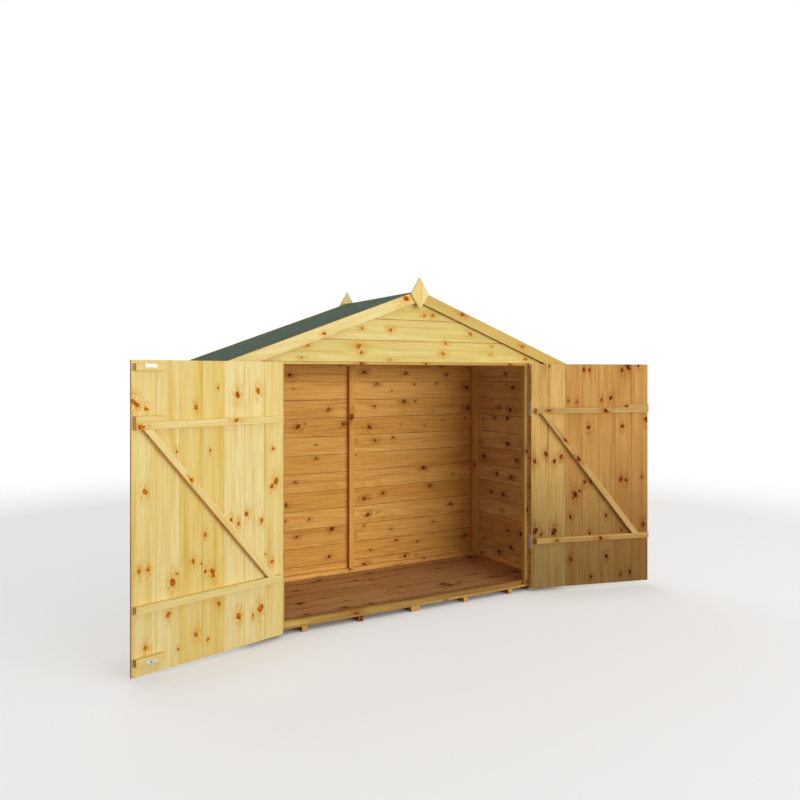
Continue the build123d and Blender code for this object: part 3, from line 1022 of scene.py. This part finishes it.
# The inside of the right wall has the paler, greyer colours of painted light.
right_wall_finishes = (cladding_finish, right_inside_finish, end_grain_and_shade_finish, dark_seam_finish)
gable_finishes = (gable_finish, inside_finish, end_grain_and_shade_finish, seam_finish)
for node, name, along, outward, finishes, extras in (
    ("left_wall_cladding", "left_wall_boards", Y, -X, wall_finishes, {}),
    ("front_cladding_left", "front_boards_left", X, -Y, wall_finishes, {}),
    ("right_wall_cladding", "right_wall_boards", Y, X, right_wall_finishes, {}),
    ("front_cladding_right", "front_boards_right", X, -Y, wall_finishes, {}),
    ("back_wall_cladding", "back_wall_boards", X, Y, wall_finishes, {}),
    ("front_gable_cladding", "front_gable_boards", X, -Y, gable_finishes,
     {"tones": gable_shade_tones, "tongues": False}),
    ("back_gable_cladding", "back_gable_boards", X, Y, wall_finishes, {"tongues": False}),
):
    board_panel(node, name, along, Z, outward, wall_seams, finishes, "pine_outside", **extras)

# %% [markdown]
# A ledged and braced door is seven upright boards held by two level ledges. The doors stand
# open in the model, so their boards run in each door's own direction: along is up, across goes
# from the hinge edge to the free edge, and the weather side looks away from the ledges. That
# side is golden on both doors. The inside of the right door is browner, partly as treated wood
# and partly as painted shade, with more painted shade towards its foot. Each board gets finishes
# of its own with just the knots that lie on it, because a chain of forty knots in one material is
# more than the renderer can hold.

# %% Doors
DOOR_BOARDS = 7
EDGE_FROM_PIN = 0.003
Door = namedtuple("Door", "across outward pin edge width")
doors = {}
for side, sign, knots, colours, fine, foot_shade, seam, tones in (
    ("left", -1, left_door_knots, golden_pine, 0.34, 0, seam_finish,
     (0.42, 0.05, 0.1, 0.66, 0.6, 0.3, 0.35)),
    ("right", 1, right_door_knots, warm_shaded_pine, 0.5, FOOT_SHADE_HEIGHT, dark_seam_finish,
     (0.25, 0.12, 0.8, 0.7, 0.75, 0.95, 0.85)),
):
    joint = next(j for j in frame["joints"] if j["child"] == f"{side}_door")
    turn = radians(-joint["range_deg"][0])
    across = Vector((-cos(turn) * sign, -sin(turn), 0))
    outward = Vector((sign * sin(turn), -cos(turn), 0))
    pin = Vector(joint["pos_m"])
    edge = pin + across * EDGE_FROM_PIN
    edge.z = 0
    width = max((v.co - edge).dot(across) for v in nodes[f"{side}_door_boards"].data.vertices)
    doors[side] = Door(across, outward, pin, edge, width)
    seams = [width * i / DOOR_BOARDS for i in range(DOOR_BOARDS + 1)]
    finishes = []
    for index, (low, high) in enumerate(zip(seams, seams[1:]), 1):
        own = [k for k in knots if low <= k[1] / MM < high]
        weather = pine(f"pine_{side}_door_face_{index}", golden_pine, own, fine=0.34)
        inner = pine(f"pine_{side}_door_back_{index}", colours, own, fine=fine, foot_shade=foot_shade)
        finishes.append((weather, inner, end_grain_and_shade_finish, seam))
    board_panel(
        f"{side}_door_boards", f"{side}_door_planks", Z, across, outward, seams[1:-1],
        finishes, "pine_door", tones=tones, origin=edge, inner=INNER_CHAMFER / 2,
    )
    print(side, "door", round(width, 4), "m wide")

# %% [markdown]
# The floor boards run the long way of the shelter, over the bearers. The roof boards run from
# front to back under the felt, and are counted down each slope from the ridge. The floor and both
# slopes are divided evenly, so that the boards come as near as they can to the usual cover.

# %% Floor and roof boards
AT_END = 0.001


def even_seams(start, length):
    """Places of the seams when boards of about the usual cover share a length evenly."""
    count = round(length / COVER)
    return [start + length * i / count for i in range(1, count)]


for side, _ in SIDES:
    low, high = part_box(f"floor_boards_{side}")
    board_panel(
        f"floor_boards_{side}", f"floor_planks_{side}", X, Y, Z,
        even_seams(low.y, high.y - low.y),
        (floor_finish, floor_finish, sill_finish, dark_seam_finish), "pine_floor",
    )

for side, sign in SIDES:
    low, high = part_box(f"roof_boards_{side}")
    points = [v.co for v in nodes[f"roof_boards_{side}"].data.vertices]
    eaves = max(abs(low.x), abs(high.x)) - AT_END
    ridge_top = max(p.z for p in points if abs(p.x) < AT_END)
    eaves_top = max(p.z for p in points if abs(p.x) > eaves)
    down_slope = Vector((sign * (high.x - low.x), 0, eaves_top - ridge_top)).normalized()
    outward = Vector((-sign * down_slope.z, 0, abs(down_slope.x)))
    board_panel(
        f"roof_boards_{side}", f"roof_planks_{side}", Y, down_slope, outward,
        even_seams(0, (high.x - low.x) / abs(down_slope.x)),
        (framing_finish, framing_finish, end_grain_and_shade_finish, dark_seam_finish), "pine_roof",
        origin=Z * ridge_top, tongues=False,
    )

# %% [markdown]
# Framing, ledges, braces, rails and bargeboards are single planed timbers. A timber's grain
# runs along its longest edge, so the code finds that edge instead of being told it, except where
# knots are placed on the timber. Every arris is eased with a small two-step bevel, as a planer
# leaves it.

# %% Single timbers
TIMBER_ARRIS = 0.0014
TIMBER_TONES = (0.2, 0.8)


def timber_axes(mesh, along=None, across=None):
    """Directions along, across and through a timber, taken from its edges unless given."""
    ends = [[mesh.vertices[i].co for i in e.vertices] for e in mesh.edges]
    edges = [end - start for start, end in ends]
    if along is None:
        along = max(edges, key=lambda e: e.length).normalized()
        along *= -1 if along.z < 0 else 1
    if across is None:
        flat = [e - along * e.dot(along) for e in edges]
        across = max(flat, key=lambda e: e.length).normalized()
    return along, across, along.cross(across)


def timbers(node, name, finish, slot, along=None, across=None, origin=ORIGIN, tone=None,
            sides=None, ends=None):
    """Finish each timber of a model piece by itself and join them again."""
    whole = copy_of_node(node, name)
    with edit_mode():
        bpy.ops.mesh.select_all(action="SELECT")
        bpy.ops.mesh.separate(type="LOOSE")
    sticks = [o for o in bpy.context.selected_objects if o.type == "MESH"]
    for stick in sticks:
        activate(stick)
        axes = timber_axes(stick.data, along, across)
        with edit_mode():
            select(stick, "EDGE", is_sharp)
            bevel_selected(TIMBER_ARRIS, 2)
        own_tone = chance.uniform(*TIMBER_TONES) if tone is None else tone
        write_grain(stick, *axes, own_tone, origin)
        dress(stick, *axes, (finish, finish, ends or end_grain_and_shade_finish, sides or finish))
    piece = join(sticks, name)
    stand_for(piece, node)
    print(name, len(sticks), "timbers", len(piece.data.polygons), "faces")


# %% [markdown]
# A ledge runs in its door's own direction and a bargeboard down the slope of the roof, which is
# measured on the model. These are given their directions, and so is any other timber with placed
# knots. The rest find theirs. The framing on the right has a paler palette: painted light.

# %% Framing, ledges and roof trim
barge_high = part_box("front_bargeboard_right")[1]
barge_points = [v.co for v in nodes["front_bargeboard_right"].data.vertices]
barge_end = [p.z for p in barge_points if p.x > barge_high.x - AT_END]
barge_depth = max(barge_end) - min(barge_end)
barge_fall = (barge_high.z - max(barge_end)) / barge_high.x
barge_origin = Vector((0, 0, barge_high.z - barge_depth / 2))
for side, sign, frame_finish, door_colours, barge_colours, barge_tone in (
    ("left", -1, framing_finish, golden_pine, golden_pine, 0.2),
    ("right", 1, painted_light_framing_finish, warm_shaded_ledge_pine, shaded_trim_pine, 0.5),
):
    timbers(
        f"floor_bearers_{side}", f"bearers_{side}", bearer_finish, "pine_floor", along=Y, across=X,
        tone=0.3, ends=bearer_finish,
    )
    timbers(f"{side}_wall_posts", f"{side}_corner_posts", frame_finish, "pine_frame")
    timbers(f"{side}_wall_rails", f"{side}_side_rails", frame_finish, "pine_frame")
    ledge_finish = pine(f"pine_{side}_ledge", door_colours, ledge_knots[side], fine=0.4)
    brace_finish = pine(f"pine_{side}_brace", door_colours, brace_knots[side], fine=0.4)
    brace_low, brace_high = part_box(f"{side}_door_brace")
    timbers(
        f"{side}_door_ledges", f"{side}_ledges", ledge_finish, "pine_door",
        along=doors[side].across, across=Z, origin=doors[side].edge, tone=0.35,
        ends=lit_ledge_end_finish,
    )
    # The brace's sides and ends get the lighter colours of painted light.
    timbers(
        f"{side}_door_brace", f"{side}_brace", brace_finish, "pine_door", tone=0.35,
        origin=(brace_low + brace_high) / 2, sides=lit_ledge_end_finish, ends=lit_ledge_end_finish,
    )
    timbers(
        f"{side}_door_lock_block", f"{side}_lock_block", brace_finish, "pine_door", tone=0.4,
        ends=lit_ledge_end_finish,
    )
    barge_finish = pine(f"pine_{side}_barge", barge_colours, barge_knots[side], contrast=0.14)
    down_slope = Vector((sign, 0, -barge_fall)).normalized()
    up_from_slope = Vector((sign * barge_fall, 0, 1)).normalized()
    # The bargeboards' sides get the end-grain colours as painted shade.
    for end in ("front", "back"):
        timbers(
            f"{end}_bargeboard_{side}", f"{end}_barge_{side}", barge_finish, "pine_roof",
            along=down_slope, across=up_from_slope, origin=barge_origin, tone=barge_tone,
            sides=end_grain_and_shade_finish,
        )
for node, name, finish, slot, extras in (
    ("left_door_bolt_blocks", "left_bolt_blocks", clear_finish, "pine_door",
     {"tone": 0.5, "ends": lit_ledge_end_finish}),
    ("front_bottom_rail", "bottom_rail", rail_finish, "pine_frame",
     {"along": X, "across": Z, "tone": (-0.3, 1.8)}),
    ("door_jambs", "jambs", sill_finish, "pine_frame", {"tone": 0.1}),
    ("header_rail", "header", header_finish, "pine_frame",
     {"along": X, "across": Z, "tone": (-0.5, 1.5)}),
    # The back posts' sides get the end-grain colours as painted shade.
    ("back_wall_posts", "back_posts", post_finish, "pine_frame",
     {"along": Z, "across": X, "sides": end_grain_and_shade_finish}),
    ("back_wall_rails", "back_rails", framing_finish, "pine_frame", {}),
    ("ridge_rail", "ridge", framing_finish, "pine_frame", {}),
    ("gable_rafters", "rafters", framing_finish, "pine_frame", {}),
    ("roof_finials", "finials", clear_finish, "pine_roof", {"along": Z, "tone": 0.3}),
):
    timbers(node, name, finish, slot, **extras)

# %% [markdown]
# The roof is covered with one sheet of green mineral felt, folded over the ridge and turned down
# at the eaves. Felt can't take a sharp fold, so the long edges at the ridge and the eaves are
# rounded. Its face is crushed slate pressed into bitumen: grains under a millimetre in a few
# greens, with paler and darker patches, and no shine at all.

# %% Roof felt
FELT_BEND = 0.009
FOLD_FROM, FOLD_TO = radians(25), radians(80)
SMOOTH_UP_TO = radians(35)
GRAINS_A_METRE = 900


def felt_material():
    """Green mineral felt: slate grains over a slow patchiness."""
    material, tree, shader = new_finish("mineral_felt", gloss=0.15)
    place = object_place(tree)
    inputs = {"Vector": place, "Scale": GRAINS_A_METRE}
    grains = flow(tree, "TexVoronoi", "Color", inputs, feature="F1")
    base = mix(ramp(noise(place, 6.0, 4.0, 0.6), 0.3, 0.7), srgb("#3F5541"), srgb("#4E654E"))
    first, second, third = grains.parts()
    pale = mix(first.maths("GREATER_THAN", 0.8), base, srgb("#728874"))
    dark = mix(second.maths("GREATER_THAN", 0.78), pale, srgb("#2A3A33"))
    put(shader["Base Color"], dark)
    put(shader["Roughness"], ramp(third, 0.0, 1.0, 0.85, 1.0))
    add_bump(shader, third, strength=0.5, distance=0.0008)
    return material


def is_fold(edge):
    """Whether an edge runs from front to back and the felt is folded there."""
    runs_back = abs((edge.verts[0].co - edge.verts[1].co).normalized().y) > SQUARE_ON
    return runs_back and FOLD_FROM < edge.calc_face_angle(0) < FOLD_TO


felt = copy_of_node("roof_felt", "felt_sheet")
with edit_mode():
    folds = select(felt, "EDGE", is_fold)
    bevel_selected(FELT_BEND, 4)
bpy.ops.object.shade_smooth_by_angle(angle=SMOOTH_UP_TO)
felt.data.materials.append(felt_material())
stand_for(felt, "roof_felt")
print("felt folds rounded:", folds)

# %% [markdown]
# The butt hinges and bolt plates are zinc-plated steel. New zinc is bright but not a mirror: a
# fine spangle changes its gloss from place to place, and it dulls to a grey with a touch of
# violet. The hinges are older looking than the bolt plates, so they have their own colour. The
# same mix of spangle and tarnish, almost black and without metal, is painted shade on a disc in a
# bolt's bore.

# %% Zinc
ZINC_GLOSS = 0.5


def zinc_recipe(place, bright, dull, smoothest, roughest):
    """Colour, roughness and height of zinc plating, from its spangle and its tarnish."""
    spangle = noise(place, 260.0, 3.0, 0.6)
    tarnish = ramp(noise(place, 45.0, 2.0), 0.35, 0.7)
    return mix(tarnish, bright, dull), ramp(spangle, 0.3, 0.7, smoothest, roughest), spangle


zinc_spangle = node_group(
    "zinc_spangle",
    zinc_recipe,
    {
        "Place": PLACE, "Bright": srgb("#D2D2D2"), "Dull": srgb("#A09A92"),
        "Smoothest": 0.3, "Roughest": 0.6,
    },
    ("Color", "Roughness", "Height"),
)


def zinc(name, code, metal, smoothest, roughest, dullest=0.72):
    """Zinc-plated steel: its colour, how metallic it is, and its range of roughness.

    dullest is how much darker the tarnished places are.
    """
    material, tree, shader = new_finish(name, ZINC_GLOSS)
    bright = srgb(code)
    inputs = {
        "Place": object_place(tree), "Bright": bright,
        "Dull": (*(dullest * part for part in bright[:3]), 1),
        "Smoothest": smoothest, "Roughest": roughest,
    }
    colour, roughness, height = place_group(tree, zinc_spangle, inputs).values()
    put(shader["Base Color"], colour)
    put(shader["Roughness"], roughness)
    shader["Metallic"].default_value = metal
    add_bump(shader, height, strength=0.15, distance=0.0002)
    return material


hinge_zinc = zinc("dull_zinc", "#C4AC9C", 0.3, 0.45, 0.65)
plate_zinc = zinc("bright_zinc", "#D2D2D2", 0.25, 0.3, 0.5, dullest=0.9)
nail_zinc = zinc("nail_zinc", "#A09A92", 0.6, 0.4, 0.6)
# A flat disc painted near black as the shade inside a bolt's bore.
painted_bore_shade = zinc("painted_bore_shade", "#22160E", 0, 0.85, 1.0)
leaves = [f"{side}_{leaf}_hinge_leaves" for side, _ in SIDES for leaf in ("frame", "door")]
for node in (*leaves, "hinge_pins", "left_door_bolt_plates"):
    for slot in nodes[node].material_slots:
        slot.material = plate_zinc if node == "left_door_bolt_plates" else hinge_zinc
    print(node, "slots", len(nodes[node].material_slots))

# %% [markdown]
# Nails and screws are small but they tell how the shelter is made: two nails where a board
# crosses a post or a bearer, clout nails with broad heads along the felt, and three screws in
# each hinge leaf. One head of each kind is modelled at the origin, looking up, and a helper puts
# copies of its mesh at many places in one joined mesh.

# %% Heads of nails and screws
RIM = 0.3


def head_on_origin(name, radius, height, sides, dome):
    """Round head that stands on the ground at the origin, with an eased rim."""
    bpy.ops.object.select_all(action="DESELECT")
    bpy.ops.mesh.primitive_circle_add(vertices=sides, radius=radius, fill_type="NGON")
    head = bpy.context.object
    head.name = name
    with edit_mode():
        bpy.ops.mesh.select_all(action="SELECT")
        draw_out(Z * height)
        bpy.ops.mesh.inset(thickness=radius * RIM)
        bpy.ops.transform.translate(value=Z * dome)
        bpy.ops.mesh.select_all(action="SELECT")
        bpy.ops.mesh.normals_make_consistent(inside=False)
    return head


def cut_slot(head, width, depth):
    """Press a driver slot into the top of a screw head."""
    top = max(v.co.z for v in head.data.vertices)

    def in_slot(face):
        place = face.calc_center_median()
        return abs(place.x) < width / 2 and face.normal.z > 0.5 and place.z > top / 2

    activate(head)
    with edit_mode():
        for side in (-1, 1):
            cut(X * side * width / 2, X)
        select(head, "FACE", in_slot)
        draw_out(Z * -depth)


# %% [markdown]
# Heads are set by copying the model's mesh, turning it to the way it looks out of the wood, with
# a spin of its own as each nail has, and moving it to its place.

# %% Setting the heads
def set_heads(model, name, places, finish, body):
    """Joined copies of a head. A place is its point and the direction that the head looks."""
    whole = bmesh.new()
    for point, look in places:
        one = model.data.copy()
        turn = look.to_track_quat("Z", "Y").to_matrix().to_4x4()
        spin = Matrix.Rotation(chance.uniform(0, pi), 4, "Z")
        one.transform(Matrix.Translation(point) @ turn @ spin)
        whole.from_mesh(one)
        bpy.data.meshes.remove(one)
    mesh = bpy.data.meshes.new(name)
    whole.to_mesh(mesh)
    whole.free()
    mesh.materials.append(finish)
    piece = link(name, mesh)
    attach(piece, body)
    print(name, len(places), "heads")


nail = head_on_origin("nail_model", radius=0.0019, height=0.0002, sides=8, dome=0.0003)
clout = head_on_origin("clout_model", radius=0.0045, height=0.0006, sides=12, dome=0.0003)
screw = head_on_origin("screw_model", radius=0.0036, height=0.0005, sides=16, dome=0.0006)
cut_slot(screw, width=0.001, depth=0.0006)
bore = head_on_origin("bore_model", radius=0.0038, height=0.0002, sides=16, dome=0)

# %% [markdown]
# The nails of the walls stand in rows over the posts, two to a board, 25 mm in from its edges.
# The rows are worked out from the boxes of the posts behind the cladding. The floor boards are
# nailed in the same way over each bearer.

# %% Nails in the walls and the floor
EDGE_TO_NAIL = 0.025
END_TO_NAIL = 0.015
BEARERS = 4


def middle_of(node, axis):
    """Middle of a model piece along one axis."""
    low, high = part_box(node)
    return (low[axis] + high[axis]) / 2


def rows(start, end, board):
    """Two nail places for each board from start, as long as they are before the end."""
    count = int((end - start) / board) + 1
    offsets = (EDGE_TO_NAIL, board - EDGE_TO_NAIL)
    places = [start + board * i + offset for i in range(count) for offset in offsets]
    return [p for p in places if start < p < end]


wall_low, wall_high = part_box("back_wall_cladding")
side_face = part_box("right_wall_cladding")[1].x
post_low, post_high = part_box("right_wall_posts")
half_post = (post_high.x - post_low.x) / 2
heights = rows(FIRST_SEAM - COVER, wall_high.z - END_TO_NAIL, COVER)
corner_x = (post_low.x + post_high.x) / 2
jamb_x = (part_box("door_jambs")[1].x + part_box("front_cladding_right")[0].x) / 2
wall_nails = []
for z in heights:
    if z <= wall_low.z + END_TO_NAIL:
        continue
    for x in (-corner_x, middle_of("back_wall_posts", 0), corner_x):
        wall_nails.append((Vector((x, wall_high.y, z)), Y))
    for x in (-corner_x, -jamb_x, jamb_x, corner_x):
        wall_nails.append((Vector((x, -wall_high.y, z)), -Y))
    for sign in (-1, 1):
        for y in (post_low.y + half_post, post_high.y - half_post):
            wall_nails.append((Vector((sign * side_face, y, z)), X * sign))
set_heads(nail, "wall_nails", wall_nails, nail_zinc, "root")

floor_low, floor_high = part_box("floor_boards_right")
floor_depth = floor_high.y - floor_low.y
floor_board = floor_depth / round(floor_depth / COVER)
bearer_end, _, bearer_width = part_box("floor_bearers_right")[1]
bearer_step = (bearer_end - bearer_width) / (BEARERS - 1)
floor_nails = []
for index in range(BEARERS):
    x = bearer_width / 2 + index * bearer_step
    for y in rows(floor_low.y, floor_high.y, floor_board):
        floor_nails += [(Vector((sign * x, y, floor_high.z)), Z) for sign in (-1, 1)]
set_heads(nail, "floor_nails", floor_nails, nail_zinc, "root")

# %% [markdown]
# The roof trim is nailed through its face: a nail every quarter metre along the bargeboards and
# two in each finial. The felt is held at the eaves by clout nails with broad heads, set through
# its turned-down edge.

# %% Nails in the roof trim and the felt
BARGE_NAIL_SPACING = 0.25
FIRST_BARGE_NAIL = 0.09
BARGE_NAILS = 5
FINIAL_DROPS = (0.012, 0.045)
NAIL_SUNK = 0.0002
CLOUT_SUNK = 0.0008
CLOUT_SPACING = 0.09
CLOUT_HEIGHT = 0.014
HAND_WANDER = 0.002
barge_face = -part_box("front_bargeboard_right")[0].y
felt_low, felt_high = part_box("roof_felt")
finial_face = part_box("roof_finials")[1].y - NAIL_SUNK
trim_nails = []
for sign in (-1, 1):
    look = Y * sign
    for index in range(BARGE_NAILS):
        x = FIRST_BARGE_NAIL + index * BARGE_NAIL_SPACING
        z = barge_origin.z - x * barge_fall
        trim_nails += [(Vector((mirror * x, sign * barge_face, z)), look) for mirror in (-1, 1)]
    for drop in FINIAL_DROPS:
        trim_nails.append((Vector((0, sign * finial_face, barge_high.z - drop)), look))
set_heads(nail, "trim_nails", trim_nails, nail_zinc, "root")

clouts = []
for sign in (-1, 1):
    for index in range(int((felt_high.y - felt_low.y) / CLOUT_SPACING)):
        y = felt_low.y + CLOUT_SPACING * (index + 0.5)
        z = felt_low.z + CLOUT_HEIGHT + chance.uniform(-HAND_WANDER, HAND_WANDER)
        clouts.append((Vector((sign * (felt_high.x - CLOUT_SUNK), y, z)), X * sign))
set_heads(clout, "felt_clouts", clouts, nail_zinc, "root")

# %% [markdown]
# A ledged door is nailed from the weather side: two nails through each board into each ledge, and
# one where a board crosses the brace. Their heads show when the door is shut. The places are
# worked out in the door's own directions, so both doors use the same lines.

# %% Nails in the doors
BRACE_END = 0.06


def on_face(door, face_at, place, height):
    """Point on the weather side of a door, this far from its hinge edge and this high."""
    flat = door.edge + door.across * place
    return flat + door.outward * (face_at - flat.dot(door.outward)) + Z * height


for side, _ in SIDES:
    door = doors[side]
    board_points = [v.co for v in nodes[f"{side}_door_boards"].data.vertices]
    face_at = max(p.dot(door.outward) for p in board_points)
    ledge_low, ledge_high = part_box(f"{side}_door_ledges")
    brace_low, brace_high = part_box(f"{side}_door_brace")
    half_ledge = (brace_low.z - ledge_low.z) / 2
    brace_points = [v.co for v in nodes[f"{side}_door_brace"].data.vertices]
    foot = [(p - door.edge).dot(door.across) for p in brace_points if p.z < brace_low.z + AT_END]
    head = [(p - door.edge).dot(door.across) for p in brace_points if p.z > brace_high.z - AT_END]
    foot_at, head_at = sum(foot) / len(foot), sum(head) / len(head)
    board = door.width / DOOR_BOARDS
    spots = []
    for index in range(DOOR_BOARDS):
        for offset in (EDGE_TO_NAIL, board - EDGE_TO_NAIL):
            for height in (ledge_low.z + half_ledge, ledge_high.z - half_ledge):
                spots.append((board * index + offset, height))
        middle = board * (index + 0.5)
        share = (middle - foot_at) / (head_at - foot_at)
        if BRACE_END < share < 1 - BRACE_END:
            spots.append((middle, brace_low.z + share * (brace_high.z - brace_low.z)))
    door_nails = [(on_face(door, face_at, *spot), door.outward) for spot in spots]
    set_heads(nail, f"{side}_door_nails", door_nails, nail_zinc, f"{side}_door")

# %% [markdown]
# Three slotted screws hold each hinge leaf, in line down its middle, and two hold each bolt
# plate. The door's leaves turn with the door, so their screws ride on it. Behind the hole in a
# bolt plate lies a flat disc on the wood, painted near black as the shade inside the bore.

# %% Screws in the hinges and the bolt plates
LEAF_FACE = 0.0015
KNUCKLE_EDGE = 0.0045
DOOR_LEAF_MIDDLE = 0.0105
SCREW_SPACING = 0.03
PLATE_SCREW = 0.021
PLATE_HEIGHT = 0.015
PLATE_THICKNESS = 0.0015
hinge_low, hinge_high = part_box("left_frame_hinge_leaves")
leaf_heights = [v.co.z for v in nodes["left_frame_hinge_leaves"].data.vertices]
hinge_length = max(z for z in leaf_heights if z < (hinge_low.z + hinge_high.z) / 2) - hinge_low.z
hinge_middles = (hinge_low.z + hinge_length / 2, hinge_high.z - hinge_length / 2)
screw_heights = [z + step for z in hinge_middles for step in (-SCREW_SPACING, 0, SCREW_SPACING)]
frame_screws = []
for side, sign in SIDES:
    across, outward, pin, *_ = doors[side]
    leaf_middle_y = (pin.y + KNUCKLE_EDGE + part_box("door_jambs")[0].y) / 2
    door_screws = []
    for z in screw_heights:
        frame_screws.append((Vector((pin.x + sign * LEAF_FACE, leaf_middle_y, z)), -X * sign))
        on_pin = Vector((pin.x, pin.y, z))
        on_leaf = on_pin + across * LEAF_FACE - outward * DOOR_LEAF_MIDDLE
        door_screws.append((on_leaf, -across))
    set_heads(screw, f"{side}_door_hinge_screws", door_screws, hinge_zinc, f"{side}_door")
set_heads(screw, "frame_hinge_screws", frame_screws, hinge_zinc, "root")

across, outward, *_ = doors["left"]
plate_low, plate_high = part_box("left_door_bolt_plates")
plate_points = [v.co for v in nodes["left_door_bolt_plates"].data.vertices]
plate_across = [p.dot(across) for p in plate_points]
plate_face = max(p.dot(-outward) for p in plate_points)
plate_middle = across * ((min(plate_across) + max(plate_across)) / 2)
plate_screws = []
bores = []
for z in (plate_low.z + PLATE_HEIGHT / 2, plate_high.z - PLATE_HEIGHT / 2):
    bores.append((plate_middle - outward * (plate_face - PLATE_THICKNESS) + Z * z, -outward))
    for step in (-PLATE_SCREW, PLATE_SCREW):
        point = plate_middle + across * step - outward * plate_face + Z * z
        plate_screws.append((point, -outward))
set_heads(screw, "bolt_plate_screws", plate_screws, plate_zinc, "left_door")
set_heads(bore, "bolt_bores", bores, painted_bore_shade, "left_door")
for model in (nail, clout, screw, bore):
    bpy.data.objects.remove(model)
